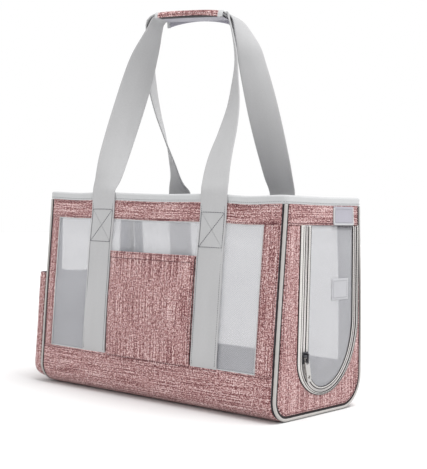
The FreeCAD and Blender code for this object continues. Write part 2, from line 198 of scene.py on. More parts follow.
def smooth_line(knots, step):
    """Smooth line through knots; the first three columns are the position, the rest go with it."""
    t = lengths(knots[:, :3])
    slope = np.gradient(knots, t, axis=0)
    at = np.linspace(0, t[-1], int(t[-1] / step) + 1)
    i = np.clip(np.searchsorted(t, at, side="right") - 1, 0, len(t) - 2)
    h = (t[i + 1] - t[i])[:, None]
    s = (at - t[i])[:, None] / h
    return ((2 * s ** 3 - 3 * s ** 2 + 1) * knots[i] + (s ** 3 - 2 * s ** 2 + s) * h * slope[i]
            + (3 * s ** 2 - 2 * s ** 3) * knots[i + 1] + (s ** 3 - s ** 2) * h * slope[i + 1])


def rectangle(x0, y0, x1, y1):
    return [(x0, y0), (x1, y0), (x1, y1), (x0, y1), (x0, y0)]


def disc(radius, count):
    a = np.linspace(0, 2 * math.pi, count, endpoint=False)
    return np.stack([radius * np.cos(a), radius * np.sin(a)], -1)


def pillow_bar(width, thick, radius, across):
    """Section of a flat strap with round edges, counter-clockwise."""
    a = np.linspace(-math.pi / 2, math.pi / 2, 6)
    x = width / 2 - radius
    right = np.stack([x + radius * np.cos(a), thick / 2 * np.sin(a)], -1)
    top = np.stack([np.linspace(x, -x, across)[1:-1], np.full(across - 2, thick / 2)], -1)
    return np.concatenate([right, top, -right, -top])


def stops(a, b, step, edge):
    """Values from a to b, about step apart, and closer together where the border turns round."""
    turn = edge * (1 - np.cos(np.linspace(0, math.pi / 2, 4)))[:-1]
    middle = np.linspace(a + edge, b - edge, max(2, int(round((b - a - 2 * edge) / step)) + 1))
    return np.concatenate([a + turn, middle, (b - turn)[::-1]])


def roundness(distance, edge):
    """Share of the full thickness at a distance from the border."""
    return np.sqrt(np.clip(1 - (1 - np.clip(distance / edge, 0, 1)) ** 2, 0, 1))


def border(values, edge):
    return roundness(np.minimum(values - values[0], values[-1] - values), edge)


def thickness(a, b, edge):
    """Half of a panel's thickness over the grid of a and b, running out to 0 at its border."""
    return edge * np.outer(border(a, edge), border(b, edge))


def closed_border(half):
    half[0] = half[-1] = 0
    half[:, 0] = half[:, -1] = 0
    return half


def grid(a, b):
    return np.meshgrid(a, b, indexing="ij")


def cells(index):
    """The four corners of each cell of a grid."""
    return np.stack([index[:-1, :-1], index[1:, :-1], index[1:, 1:], index[:-1, 1:]], 2)


# ---- mesh making ----
class Pile:
    """Vertices, faces and weave coordinates of one piece, in metres."""

    def __init__(self):
        self.points, self.faces, self.uvs, self.slots, self.count = [], [], [], [], 0

    def add(self, points, faces, uvs, slot=0):
        """New points, and faces that count from the first of them, whose index is returned."""
        start = self.count
        self.points.append(np.asarray(points, float).reshape(-1, 3))
        self.count += len(self.points[-1])
        self.cover(np.asarray(faces, int) + start, uvs, slot)
        return start

    def cover(self, faces, uvs, slot):
        """Faces between points that are already there."""
        self.faces.append(faces)
        self.uvs.append(np.asarray(uvs, float).reshape(-1, 2))
        self.slots.append(np.full(len(faces), slot))

    def make(self, name, *materials):
        mesh = bpy.data.meshes.new(name)
        faces = [f for block in self.faces for f in block.tolist()]
        mesh.from_pydata(np.concatenate(self.points).tolist(), [], faces)
        for m in materials:
            mesh.materials.append(m)
        mesh.polygons.foreach_set("material_index", np.concatenate(self.slots).astype(np.int32))
        mesh.polygons.foreach_set("use_smooth", np.ones(len(faces), bool))
        layer = mesh.uv_layers.new(name="weave")
        layer.data.foreach_set("uv", np.concatenate(self.uvs).ravel().astype(np.float32))
        work = bmesh.new()
        work.from_mesh(mesh)
        bmesh.ops.recalc_face_normals(work, faces=work.faces)
        work.to_mesh(mesh)
        work.free()
        return link(name, mesh)


def link(name, data):
    obj = bpy.data.objects.new(name, data)
    scene.collection.objects.link(obj)
    return obj


def shell(pile, mid, half, u, v, flip, slots=(0, 1)):
    """Closed sheet about the grid of points mid. half is half of its thickness, 0 along the border."""
    n, m = half.shape
    normal = flip * grid_normals(mid)
    outer = mid + normal * half[..., None]
    inner = (mid - normal * half[..., None])[1:-1, 1:-1]
    top = np.arange(n * m).reshape(n, m)
    low = top.copy()
    low[1:-1, 1:-1] = n * m + np.arange((n - 2) * (m - 2)).reshape(n - 2, m - 2)
    uvs = cells(np.stack([u, v], -1)).reshape(-1, 4, 2)
    points = np.concatenate([outer.reshape(-1, 3), inner.reshape(-1, 3)])
    start = pile.add(points, cells(top).reshape(-1, 4), uvs, slots[0])
    pile.cover(cells(low).reshape(-1, 4)[:, ::-1] + start, uvs[:, ::-1], slots[1])


def sweep(pile, path, across, normal, section, closed=False, slot=0):
    """Section points (across, normal) carried along a path. section is (m, 2) or (n, m, 2)."""
    n = len(path)
    section = np.broadcast_to(section, (n,) + section.shape[-2:])
    m = section.shape[1]
    points = path[:, None] + across[:, None] * section[..., :1] + normal[:, None] * section[..., 1:]
    index = np.arange(n * m).reshape(n, m)
    index = np.concatenate([index, index[:, :1]], 1)
    length = lengths(path)
    ring = section[n // 2]
    girth = lengths(np.concatenate([ring, ring[:1]]))
    if closed:
        index = np.concatenate([index, index[:1]])
        length = np.append(length, length[-1] + np.linalg.norm(path[0] - path[-1]))
    uvs = cells(np.stack(grid(length, girth), -1))
    start = pile.add(points, cells(index).reshape(-1, 4), uvs, slot)
    for row in () if closed else (0, n - 1):
        hub = pile.add(points[row].mean(0), [], [])
        loop = start + row * m + np.arange(m)
        pile.cover(np.stack([loop, np.roll(loop, -1), np.full(m, hub)], -1), np.zeros((3 * m, 2)), slot)


def sweep_upright(pile, path, sign, section, slot=0):
    """Sweep whose section's first axis is along X, to the side of sign."""
    across = np.broadcast_to([float(sign), 0.0, 0.0], path.shape)
    sweep(pile, path, across, np.cross(tangents(path), across), section, slot=slot)


def lay_trim(pile, line, up, radius=0.7 * MM):
    """Narrow rounded edging along a line."""
    along = tangents(line)
    across = unit(np.cross(along, np.broadcast_to(np.asarray(up, float), line.shape)))
    sweep(pile, line, across, unit(np.cross(across, along)), disc(radius, 8))


def bead_mesh(radius, length):
    """Small capsule along X: points, faces and the two end loops."""
    tip, shoulder = length / 2, length / 2 - radius * 0.7
    rings = [(-tip, 0.45), (-shoulder, 1), (shoulder, 1), (tip, 0.45)]
    sides = BEAD_SIDES
    angles = np.linspace(0, 2 * math.pi, sides, endpoint=False)
    points = [[x, radius * k * math.cos(a), radius * k * math.sin(a)] for x, k in rings for a in angles]
    faces = []
    for first in range(0, (len(rings) - 1) * sides, sides):
        for s in range(sides):
            n = (s + 1) % sides
            faces.append([first + s, first + n, first + sides + n, first + sides + s])
    loop = np.arange(sides)
    return np.array(points), np.array(faces), (loop, (len(rings) - 1) * sides + loop)


def beads(pile, centres, along, up, radius, length, flat=1.0, slot=0):
    """One capsule at each centre, its length along one direction."""
    base, faces, ends = bead_mesh(radius, length)
    x = unit(along)
    z = unit(up - x * (up * x).sum(-1, keepdims=True))
    y = np.cross(z, x)
    points = (centres[:, None] + base[None, :, :1] * x[:, None] + base[None, :, 1:2] * y[:, None]
              + flat * base[None, :, 2:] * z[:, None])
    count = len(centres)
    shift = (np.arange(count) * len(base))[:, None, None]
    uvs = np.tile(base[faces][..., :2][None], (count, 1, 1, 1))
    start = pile.add(points, (faces[None] + shift).reshape(-1, 4), uvs, slot)
    for end in ends:
        caps = (end[None, None] + shift).reshape(count, -1) + start
        pile.cover(caps, np.zeros((caps.size, 2)), slot)


def stitches(pile, line, up, pitch=3.2 * MM, length=2.2 * MM, radius=0.44 * MM, slot=0):
    """Running stitch along a line of points; up is the surface's direction there."""
    line = np.asarray(line, float)
    up = np.broadcast_to(np.asarray(up, float), line.shape)
    done = lengths(line)
    count = max(2, int(done[-1] / pitch))
    at = (np.arange(count) + 0.5) * done[-1] / count
    along = pick(line, done, at + length / 2) - pick(line, done, at - length / 2)
    beads(pile, pick(line, done, at), along, unit(pick(up, done, at)), radius, length, slot=slot)


# ---- materials ----
def srgb(r, g, b):
    """Scene-linear colour of an sRGB value from 0 to 255."""
    def linear(c):
        c /= 255
        return c / 12.92 if c <= 0.04045 else ((c + 0.055) / 1.055) ** 2.4
    return linear(r), linear(g), linear(b), 1.0


class Paint:
    """A node material in the making; places are weave coordinates in metres."""

    def __init__(self, name, roughness, specular, sheen=0.0, metallic=0.0, place="weave"):
        self.material = bpy.data.materials.new(name)
        self.material.use_nodes = True
        self.tree = self.material.node_tree
        self.bsdf = self.tree.nodes["Principled BSDF"]
        self.output = self.tree.nodes["Material Output"]
        self.bsdf.inputs["Roughness"].default_value = roughness
        self.bsdf.inputs["Metallic"].default_value = metallic
        self.bsdf.inputs["Specular IOR Level"].default_value = specular
        self.bsdf.inputs["Sheen Weight"].default_value = sheen
        self.bsdf.inputs["Sheen Roughness"].default_value = 0.5
        if place == "weave":
            self.place = self.node("ShaderNodeUVMap", uv_map="weave").outputs[0]
        else:
            self.place = self.node("ShaderNodeTexCoord").outputs["Object"]

    def node(self, kind, **settings):
        made = self.tree.nodes.new(kind)
        for key, value in settings.items():
            setattr(made, key, value)
        return made

    def put(self, value, socket):
        if isinstance(value, bpy.types.NodeSocket):
            self.tree.links.new(value, socket)
        else:
            socket.default_value = value

    def math(self, operation, a, b=0.0, c=0.0):
        made = self.node("ShaderNodeMath", operation=operation)
        for value, socket in zip((a, b, c), made.inputs):
            self.put(value, socket)
        return made.outputs[0]

    def noise(self, u, v, detail, rough, seed):
        """Noise with u and v waves a metre, centred on 0."""
        scaled = self.node("ShaderNodeVectorMath", operation="MULTIPLY")
        self.put(self.place, scaled.inputs[0])
        scaled.inputs[1].default_value = (u, v, 1.0)
        made = self.node("ShaderNodeTexNoise", noise_dimensions="4D")
        self.put(scaled.outputs[0], made.inputs["Vector"])
        made.inputs["W"].default_value = seed
        made.inputs["Scale"].default_value = 1.0
        made.inputs["Detail"].default_value = detail
        made.inputs["Roughness"].default_value = rough
        return self.math("SUBTRACT", made.outputs["Fac"], 0.5)

    def ribs(self, axis, pitch):
        """Sine ribs, -1 to 1, one each pitch metres along axis 0 or 1."""
        apart = self.node("ShaderNodeSeparateXYZ")
        self.put(self.place, apart.inputs[0])
        return self.math("SINE", self.math("MULTIPLY_ADD", apart.outputs[axis], 2 * math.pi / pitch))

    def add(self, *terms):
        """Sum of (factor, value) terms."""
        total = 0.0
        for factor, value in terms:
            total = self.math("MULTIPLY_ADD", value, factor, total)
        return total

    def ramp(self, value, *marks):
        """Base colour from value by marks of (place, colour)."""
        made = self.node("ShaderNodeValToRGB")
        elements = made.color_ramp.elements
        while len(elements) < len(marks):
            elements.new(0.5)
        for element, (at, colour) in zip(elements, marks):
            element.position = at
            element.color = colour
        self.put(value, made.inputs[0])
        self.put(made.outputs[0], self.bsdf.inputs["Base Color"])

    def tint(self, colour, factors, *terms):
        """Base colour that goes through the darker and lighter factors of colour as the terms rise."""
        last = len(factors) - 1
        shades = [tuple(min(1.0, c * f) for c in colour[:3]) + (1.0,) for f in factors]
        self.ramp(self.add(*terms, (0.5, 1.0)), *((i / last, shade) for i, shade in enumerate(shades)))

    def rough(self, *terms):
        self.put(self.add(*terms), self.bsdf.inputs["Roughness"])

    def bump(self, distance, strength, *terms):
        """Relief from the terms; returns the finished material."""
        made = self.node("ShaderNodeBump")
        made.inputs["Strength"].default_value = strength
        made.inputs["Distance"].default_value = distance
        self.put(self.add(*terms), made.inputs["Height"])
        self.put(made.outputs[0], self.bsdf.inputs["Normal"])
        return self.material


def make_linen():
    p = Paint("melange_linen", 0.88, 0.2, sheen=0.12)
    streak = p.noise(16, 700, 0.0, 0.5, 1)
    slub = p.noise(210, 740, 0.0, 0.5, 2)
    grain = p.noise(600, 680, 0.0, 0.6, 3)
    cross = p.noise(700, 90, 0.0, 0.5, 4)
    blend = p.add((1.3, streak), (1.2, slub), (2.0, grain), (0.6, cross), (1.0, 0.5))
    p.ramp(blend, (0.0, srgb(94, 48, 51)), (0.28, srgb(144, 98, 98)), (0.5, srgb(173, 131, 130)),
           (0.76, srgb(198, 161, 159)), (1.0, srgb(230, 206, 204)))
    thread_pitch = 0.9 * MM
    threads = p.math("MULTIPLY", p.ribs(0, thread_pitch), p.ribs(1, thread_pitch))
    p.rough((0.35, slub), (1.0, 0.86))
    return p.bump(0.35 * MM, 0.6, (0.28, threads), (1.2, streak), (0.8, grain), (0.6, cross))


def make_webbing_cloth():
    p = Paint("webbing", 0.72, 0.3, sheen=0.1)
    grain = p.noise(420, 420, 3.0, 0.6, 5)
    worn = p.noise(9, 40, 3.0, 0.5, 6)
    rows = p.ribs(1, 1.45 * MM)
    twill = p.math("MULTIPLY", p.ribs(0, 1.7 * MM), rows)
    p.tint(srgb(186, 186, 187), (0.78, 0.92, 1.0, 1.08, 1.2), (0.5, grain), (0.5, worn), (0.09, twill))
    return p.bump(0.3 * MM, 0.6, (0.5, twill), (0.25, rows), (0.9, grain))


def make_tape(name, colour, pitch, roughness=0.7):
    """Grosgrain binding tape."""
    p = Paint(name, roughness, 0.3, sheen=0.15)
    grain = p.noise(500, 260, 2.0, 0.6, 7)
    drift = p.noise(14, 30, 2.0, 0.5, 8)
    ribs = p.ribs(0, pitch)
    p.tint(colour, (0.8, 0.93, 1.0, 1.06, 1.16), (0.55, grain), (0.6, drift), (0.06, ribs))
    return p.bump(0.25 * MM, 0.55, (0.5, ribs), (0.6, grain))


def make_lining():
    p = Paint("lining_cloth", 0.8, 0.25, sheen=0.05)
    grain = p.noise(600, 600, 2.0, 0.6, 9)
    drift = p.noise(12, 15, 3.0, 0.55, 10)
    p.tint(srgb(98, 102, 116), (0.82, 0.94, 1.0, 1.05, 1.14), (0.5, grain), (0.7, drift))
    pitch = 0.8 * MM
    return p.bump(0.25 * MM, 0.5, (0.6, p.ribs(0, pitch)), (0.6, p.ribs(1, pitch)), (0.8, drift))


def make_net(name, colour, covered):
    """Fine netting: small holes in rows, a milky look from further away. covered is the yarn's share."""
    p = Paint(name, 0.6, 0.25)
    pitch = 2.6 * MM
    holes = p.math("MULTIPLY", p.ribs(0, pitch), p.ribs(1, pitch))
    drift = p.noise(10, 12, 2.0, 0.5, 11)
    p.tint(colour, (0.86, 0.97, 1.0, 1.03, 1.1), (0.9, drift), (0.12, holes))
    p.bump(0.2 * MM, 0.4, (1.0, holes))
    through = p.node("ShaderNodeBsdfTranslucent")
    through.inputs[0].default_value = colour
    clear = p.node("ShaderNodeBsdfTransparent")

    def mix(share, first, second):
        made = p.node("ShaderNodeMixShader")
        for value, socket in zip((share, first, second), made.inputs):
            p.put(value, socket)
        return made.outputs[0]

    yarn = mix(0.15, p.bsdf.outputs[0], through.outputs[0])
    cover = p.add((0.1, holes), (0.2, drift), (covered, 1.0))
    p.put(mix(cover, clear.outputs[0], yarn), p.output.inputs["Surface"])
    return p.material


def make_thread(name, colour):
    p = Paint(name, 0.75, 0.3)
    twist = p.ribs(0, 0.7 * MM)
    p.tint(colour, (0.8, 1.0, 1.15), (0.3, twist))
    return p.bump(0.1 * MM, 0.5, (1.0, twist))


def make_fleece(name, colour, waves, strength):
    p = Paint(name, 0.95, 0.1, sheen=0.35)
    fuzz = p.noise(waves, waves, 4.0, 0.65, 12)
    clump = p.noise(waves / 9, waves / 9, 3.0, 0.55, 13)
    p.tint(colour, (0.76, 0.93, 1.0, 1.05, 1.15), (0.8, fuzz), (0.6, clump))
    return p.bump(0.8 * MM, strength, (1.0, fuzz), (0.7, clump))


def make_metal(name, colour):
    """Finish of a CAD node, which has no weave: its places are the object's own."""
    p = Paint(name, 0.3, 0.5, metallic=1.0, place="object")
    scratch = p.noise(300, 2600, 3.0, 0.6, 14)
    smudge = p.noise(120, 120, 2.0, 0.5, 15)
    p.tint(colour, (0.8, 1.0, 1.1), (1.0, smudge))
    p.rough((0.35, smudge), (0.2, scratch), (0.3, 1.0))
    return p.bump(0.05 * MM, 0.3, (1.0, scratch))


def make_board():
    p = Paint("board_finish", 0.7, 0.3, place="object")
    grain = p.noise(500, 500, 3.0, 0.6, 16)
    p.tint(srgb(120, 120, 124), (0.8, 1.0, 1.15), (0.9, grain))
    return p.bump(0.2 * MM, 0.5, (1.0, grain))


def make_plastic(name, colour):
    p = Paint(name, 0.42, 0.5)
    wear = p.noise(300, 300, 2.0, 0.5, 17)
    p.tint(colour, (0.85, 1.0, 1.1), (0.8, wear))
    p.rough((0.3, wear), (0.42, 1.0))
    return p.bump(0.05 * MM, 0.3, (1.0, wear))


LINEN = make_linen()
WEBBING = make_webbing_cloth()
LINING = make_lining()
NET = make_net("window_net", srgb(220, 220, 223), 0.38)
DOOR_NET = make_net("door_net", srgb(213, 213, 216), 0.42)
RIM_TAPE = make_tape("rim_tape", srgb(196, 197, 198), 1.1 * MM)
PIPE_TAPE = make_tape("piping_tape", srgb(184, 181, 178), 1.4 * MM)
# Zip tape made near-black: painted shade for the narrow gaps beside the zip's coils.
ZIP_TAPE_SHADE = make_tape("zip_tape", srgb(92, 88, 90), 0.9 * MM)
DOOR_TAPE = make_tape("door_tape", srgb(220, 217, 213), 1.1 * MM)
COIL = make_plastic("zip_coil", srgb(224, 220, 218))
# Near-black tape of painted shade, laid as cords and strips where grooves and gaps lie in shade.
PAINTED_SHADE_TAPE = make_tape("seam_shadow_tape", srgb(34, 24, 27), 1.0 * MM, 0.95)
# Dark rose thread for the pink cloth, darkened further as painted shade of the stitch dips.
ROSE_THREAD_AND_SHADE = make_thread("rose_thread_and_shade", srgb(80, 44, 50))
GREY_THREAD = make_thread("grey_thread", srgb(158, 158, 161))
DARK_THREAD = make_thread("dark_grey_thread", srgb(88, 88, 94))
FUZZ = make_fleece("hook_and_loop_cloth", srgb(168, 166, 176), 700, 0.5)
PALE_FUZZ = make_fleece("loop_cloth", srgb(180, 180, 184), 700, 0.5)
FLEECE = make_fleece("mat_fleece", srgb(196, 196, 202), 240, 0.9)


def keep(obj, body, slot, *nodes):
    """Rides obj on a body and hides the CAD nodes that it stands for; its finish, slot, is not used."""
    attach(obj, body)
    if nodes:
        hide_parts(*nodes)


def make_cloth(name, mid, half, u, v, flip, slot, *nodes, materials=(LINEN, LINING), body="bag_shell"):
    """One panel of cloth as an object of its own; the last material is its inner face."""
    pile = Pile()
    shell(pile, mid, half, u, v, flip, (0, len(materials) - 1))
    obj = pile.make(name, *materials)
    keep(obj, body, slot, *nodes)
    return obj


# ---- front and back walls ----
def section(side, depth, z_top):
    """Points (y, z) and outward normals down the wall and round the bottom corner."""
    r = RADIUS[side] - depth
    angles = np.linspace(LEAN_ANGLE, -math.pi / 2, 14)
    ny, nz = np.cos(angles), np.sin(angles)
    arc = np.stack([side * (CORNER[side] + r * ny), RADIUS[side] + r * nz], -1)
    z = stops(arc[0, 1], z_top, 5 * MM, EDGE)[::-1][:-1]
    wall = np.stack([side * (half_depth(z) - depth * SEC), z], -1)
    wall_normals = np.tile([side * math.cos(LEAN_ANGLE), math.sin(LEAN_ANGLE)], (len(z), 1))
    arc_normals = np.stack([side * ny, nz], -1)
    fine_end = resample(arc[-2:], 5)[1:-1]
    line = np.concatenate([wall, arc[:-1], fine_end, arc[-1:]])
    end_normals = np.tile(arc_normals[-2:-1], (len(fine_end), 1))
    return line, np.concatenate([wall_normals, arc_normals[:-1], end_normals, arc_normals[-1:]])


def make_lower_band(side):
    line, normals = section(side, EDGE, LOWER_TOP)
    x, length = stops(-REACH, REACH, 6 * MM, EDGE), lengths(line)
    X, Z = grid(x, line[:, 1])
    out = puff(side, X, Z) + over_strap(side, X, Z)
    mid = np.stack([X, line[:, 0] + normals[:, 0] * out, Z + normals[:, 1] * out], -1)
    word = WORD[side]
    obj = make_cloth(f"{word}_lower_band_cloth", mid, thickness(x, length, EDGE), X + 0.31 * side,
                     np.broadcast_to(length, X.shape), side, "woven_fabric", f"{word}_lower_band",
                     f"{word}_lower_lining")


def wall_panel(name, side, x_span, z_span, slot, nodes, upright=False, depth=0.0, edge=EDGE,
               materials=(LINEN, LINING), billow=None, step=6 * MM):
    """Flat panel sewn in the front or back wall; upright panels have their thread along Z."""
    x, z = stops(*x_span, step, edge), stops(*z_span, step, edge)
    X, Z = grid(x, z)
    mid = on_wall(side, X, Z, depth + edge - (billow(X, Z) if billow else 0))
    u, v = (Z, X) if upright else (X, Z)
    obj = make_cloth(name, mid, thickness(x, z, edge), u + 0.17 * side, v + 0.05, -side, slot, *nodes,
                     materials=materials)


def make_bottom():
    x, y = stops(-REACH, REACH, 10 * MM, EDGE), stops(FLOOR_LOW.y, FLOOR_HIGH.y, 8 * MM, EDGE)
    X, Y = grid(x, y)
    mid = np.stack([X, Y, np.full_like(X, EDGE)], -1)
    obj = make_cloth("bottom_cloth", mid, thickness(x, y, EDGE), X, Y, -1, "woven_fabric", "bottom_panel",
                     "floor_lining")


def make_window(side, x0, x1):
    word = WORD[side]

    def billow(x, z):
        s = np.clip((x - x0) / (x1 - x0), 0, 1) * np.clip((x1 - x) / (x1 - x0), 0, 1) * 4
        t = np.clip((z - LOWER_TOP) * (UPPER_BOTTOM - z), 0, None) / ((UPPER_BOTTOM - LOWER_TOP) / 2) ** 2
        return -0.9 * MM * s * t + 0.4 * MM * s * t * ripple(x * 0.6, z * 0.9, 5)

    wall_panel(f"{word}_window_net", side, (x0 - NET_HEM, x1 + NET_HEM),
               (LOWER_TOP - NET_HEM, UPPER_BOTTOM + NET_HEM), "mesh", [f"{word}_window"],
               depth=1.2 * MM, edge=NET_EDGE,
               materials=(NET,), billow=billow, step=9 * MM)


def make_window_edging(side, x0, x1):
    pile = Pile()
    inset, depth = 0.4 * MM, 0.5 * MM
    for z in (LOWER_TOP + inset, UPPER_BOTTOM - inset):
        lay_trim(pile, on_wall(side, np.linspace(x0, x1, 60), z, depth), (0, side, 0))
    for x in (x0 + inset, x1 - inset):
        lay_trim(pile, on_wall(side, x, np.linspace(LOWER_TOP, UPPER_BOTTOM, 40), depth), (0, side, 0))
    keep(pile.make(f"{WORD[side]}_window_edging", RIM_TAPE), "bag_shell", "binding")


def window_span(side):
    low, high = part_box(f"{WORD[side]}_window")
    return low.x, high.x


def make_wall(side):
    word = WORD[side]
    x0, x1 = window_span(side)
    make_lower_band(side)
    wall_panel(f"{word}_top_band_cloth", side, (-REACH, REACH), (UPPER_BOTTOM, UNDER_RIM), "woven_fabric",
               [f"{word}_top_band", f"{word}_top_lining"])
    for end, x_span in (("left", (-REACH, x0)), ("right", (x1, REACH))):
        wall_panel(f"{word}_{end}_strip_cloth", side, x_span, (LOWER_TOP, UPPER_BOTTOM), "woven_fabric",
                   [f"{word}_{end}_strip"], upright=True)
    make_window(side, x0, x1)
    make_window_edging(side, x0, x1)


# ---- the outline seen from the ends ----
def outline(inset, z_top, count):
    """Points (y, z) from the front wall's top down round the bottom to the back wall's top."""
    parts = []
    for side in SIDES:
        r = RADIUS[side] - inset
        angles = np.linspace(LEAN_ANGLE, -math.pi / 2, 24)
        arc = np.stack([side * (CORNER[side] + r * np.cos(angles)), RADIUS[side] + r * np.sin(angles)], -1)
        z = np.linspace(z_top, arc[0, 1], 30)[:-1]
        half = np.concatenate([np.stack([side * (half_depth(z) - inset * SEC), z], -1), arc])
        half[:, 0] += side * end_bulge(side, half[:, 1])
        parts.append(half if side == FRONT else half[::-1])
    return resample(np.concatenate(parts), count)


def outline_halves(inset, z_top, y_mid, count):
    """The same outline in two halves that meet at y_mid on the floor, each from its wall's top down."""
    line = outline(inset, z_top, 600)
    above_floor = line[:, 1] > inset + 1 * MM
    cut = int(np.argmin(np.abs(line[:, 0] - y_mid) + 10 * above_floor))
    meeting = [[y_mid, inset]]
    return (resample(np.concatenate([line[:cut], meeting]), count),
            resample(np.concatenate([line[cut + 1:][::-1], meeting]), count))


class Opening:
    """U-shaped lines, each given by an edge (left, right, bottom): two straight sides and, below
    left_z and right_z, a bottom of two quarter ellipses that meet at low_y. The right side leans in."""

    def __init__(self, left_z, right_z, low_y, lean=0.0, lean_top=1.0):
        self.left_z, self.right_z, self.low_y = left_z, right_z, low_y
        self.lean, self.lean_top = lean, lean_top

    def halves(self, edge, z_top, count):
        left, right, bottom = edge
        a = np.linspace(0, math.pi / 2, 40)
        one = np.stack([self.low_y - (self.low_y - left) * np.cos(a),
                        self.left_z - (self.left_z - bottom) * np.sin(a)], -1)
        two = np.stack([self.low_y + (right - self.low_y) * np.cos(a),
                        self.right_z - (self.right_z - bottom) * np.sin(a)], -1)
        lean = self.lean * (z_top - self.right_z) / (self.lean_top - self.right_z)
        return (resample(np.concatenate([[[left, z_top]], one]), count),
                resample(np.concatenate([[[right - lean, z_top]], two]), count))

    def line(self, edge, z_top, count):
        one, two = self.halves(edge, z_top, 200)
        return resample(np.concatenate([one, two[::-1][1:]]), count)


def moved(edge, left, right, bottom):
    """An edge with its sides and bottom moved by millimetres."""
    return edge[0] + left * MM, edge[1] + right * MM, edge[2] + bottom * MM


def between(a, b, share):
    return tuple(p + (q - p) * share for p, q in zip(a, b))


def u_band(pile, outer_halves, inner_halves, sign, x_mid, thick, steps, crown=0.0, tape=False):
    """Closed band between two U lines in an end wall; sign is 1 for the right end and -1 for the left."""
    edge = thick / 2
    outer = np.concatenate([outer_halves[0], outer_halves[1][::-1][1:]])
    inner = np.concatenate([inner_halves[0], inner_halves[1][::-1][1:]])
    width = np.linalg.norm(outer - inner, axis=1)
    usual = float(np.median(width))
    f = stops(0, usual, usual / steps, edge)
    f = f / f[-1]
    line = outer[:, None] + (inner - outer)[:, None] * f[None, :, None]
    length = lengths(inner)
    across = f[None] * width[:, None]
    bow = crown * (1 - (2 * f[None] - 1) ** 2) * np.ones((len(outer), 1))
    mid = np.concatenate([(sign * (x_mid + bow))[..., None], line], -1)
    ends = np.minimum(length, length[-1] - length)
    sides = np.minimum(across, width[:, None] - across)
    half = closed_border(edge * roundness(sides, edge) * roundness(ends, edge)[:, None])
    if tape:
        shell(pile, mid, half, np.broadcast_to(length[:, None], across.shape), across, sign, (0, 0))
    else:
        shell(pile, mid, half, line[..., 1], line[..., 0], sign)


# ---- piping and rim ----
SHADE_CORD_R = 3.7 * MM
SHADE_CORD_IN = 2.3 * MM        # how far the near-black cord of painted shade lies inside the piping
RIM_CORNER = 5.5 * MM
RIM_MIDDLE = 3.0 * MM          # the rim's middle line, inside its outer face
RIM_HALF_W = 3.1 * MM


def sweep_outline(pile, sign, x, line, ring):
    """Section carried round the bag's outline in the plane X = sign * x."""
    sweep_upright(pile, np.concatenate([np.full((len(line), 1), sign * x), line], 1), sign, ring)


def make_piping():
    for sign, word in ((-1, "left"), (1, "right")):
        line = outline(PIPE_R, RIM_Z0 - 0.3 * MM, 320)
        s = np.arange(len(line)) * 0.002
        pucker = 1 + 0.035 * np.sin(s * 520 + 1.3 * np.sin(s * 61)) + 0.02 * np.sin(s * 47)
        pile = Pile()
        sweep_outline(pile, sign, PIPE_X, line, disc(PIPE_R - 0.35 * MM, 14)[None] * pucker[:, None, None])
        keep(pile.make(f"{word}_piping_cord", PIPE_TAPE), "bag_shell", "binding", f"{word}_piping")
        # Beside each piping, a near-black cord of painted shade fills the groove to the end panel.
        pile = Pile()
        line = outline(PIPE_R + 2.4 * MM, RIM_Z0 - 0.5 * MM, 200)
        sweep_outline(pile, sign, PIPE_X - SHADE_CORD_IN, line, disc(SHADE_CORD_R, 12))
        keep(pile.make(f"{word}_piping_shade_cord", PAINTED_SHADE_TAPE), "bag_shell", "binding")


def rim_loop(inset, count):
    """Plan line of the rim, rounded at its corners: points (x, y) and outward normals (x, y, 0)."""
    r = max(RIM_CORNER - inset, 0.2 * MM)
    cx, cy = RIM_X - inset - r, RIM_Y - inset - r
    corners = []
    for x, y, start in ((cx, -cy, -90), (cx, cy, 0), (-cx, cy, 90), (-cx, -cy, 180)):
        a = np.radians(np.linspace(start, start + 90, 14))
        corners.append(np.stack([x + r * np.cos(a), y + r * np.sin(a)], -1))
    line = resample(np.concatenate(corners + [corners[0][:1]]), count + 1)[:-1]
    along = unit(np.roll(line, -1, 0) - np.roll(line, 1, 0))
    return line, np.stack([along[:, 1], -along[:, 0], 0 * along[:, 0]], -1)


def rim_heights(line):
    """How far the rim is lowered at each plan point."""
    x, y = line[:, 0], line[:, 1]
    near, far = 12 * MM, 4 * MM
    on_walls = smooth(np.abs(y), RIM_Y - near, RIM_Y - far) * smooth(BELT_X - np.abs(x), 0, near)
    on_ends = smooth(np.abs(x), RIM_X - near, RIM_X - far)
    end_dip = 0.8 * MM * np.cos(np.clip(y / RIM_Y, -1, 1) * math.pi / 2) ** 2
    return np.where(y < 0, rim_dip(FRONT, x), rim_dip(BACK, x)) * on_walls + end_dip * on_ends


def rim_section():
    """The rolled binding's section: a round top, and a lower edge that is tucked in."""
    half_h, half_w = (RIM_Z1 - RIM_Z0) / 2, RIM_HALF_W
    a = np.linspace(0, math.pi, 11)
    top = np.stack([half_w * np.cos(a), half_h - half_w + 3.0 * MM * np.sin(a)], -1)
    low = np.array([[-half_w, 1.6 * MM], [-half_w + 0.5 * MM, 0], [0, 0], [half_w - 0.4 * MM, 0],
                    [half_w, 1.0 * MM], [half_w - 0.35 * MM, 2.4 * MM]]) - [0, half_h]
    return np.concatenate([top, low])


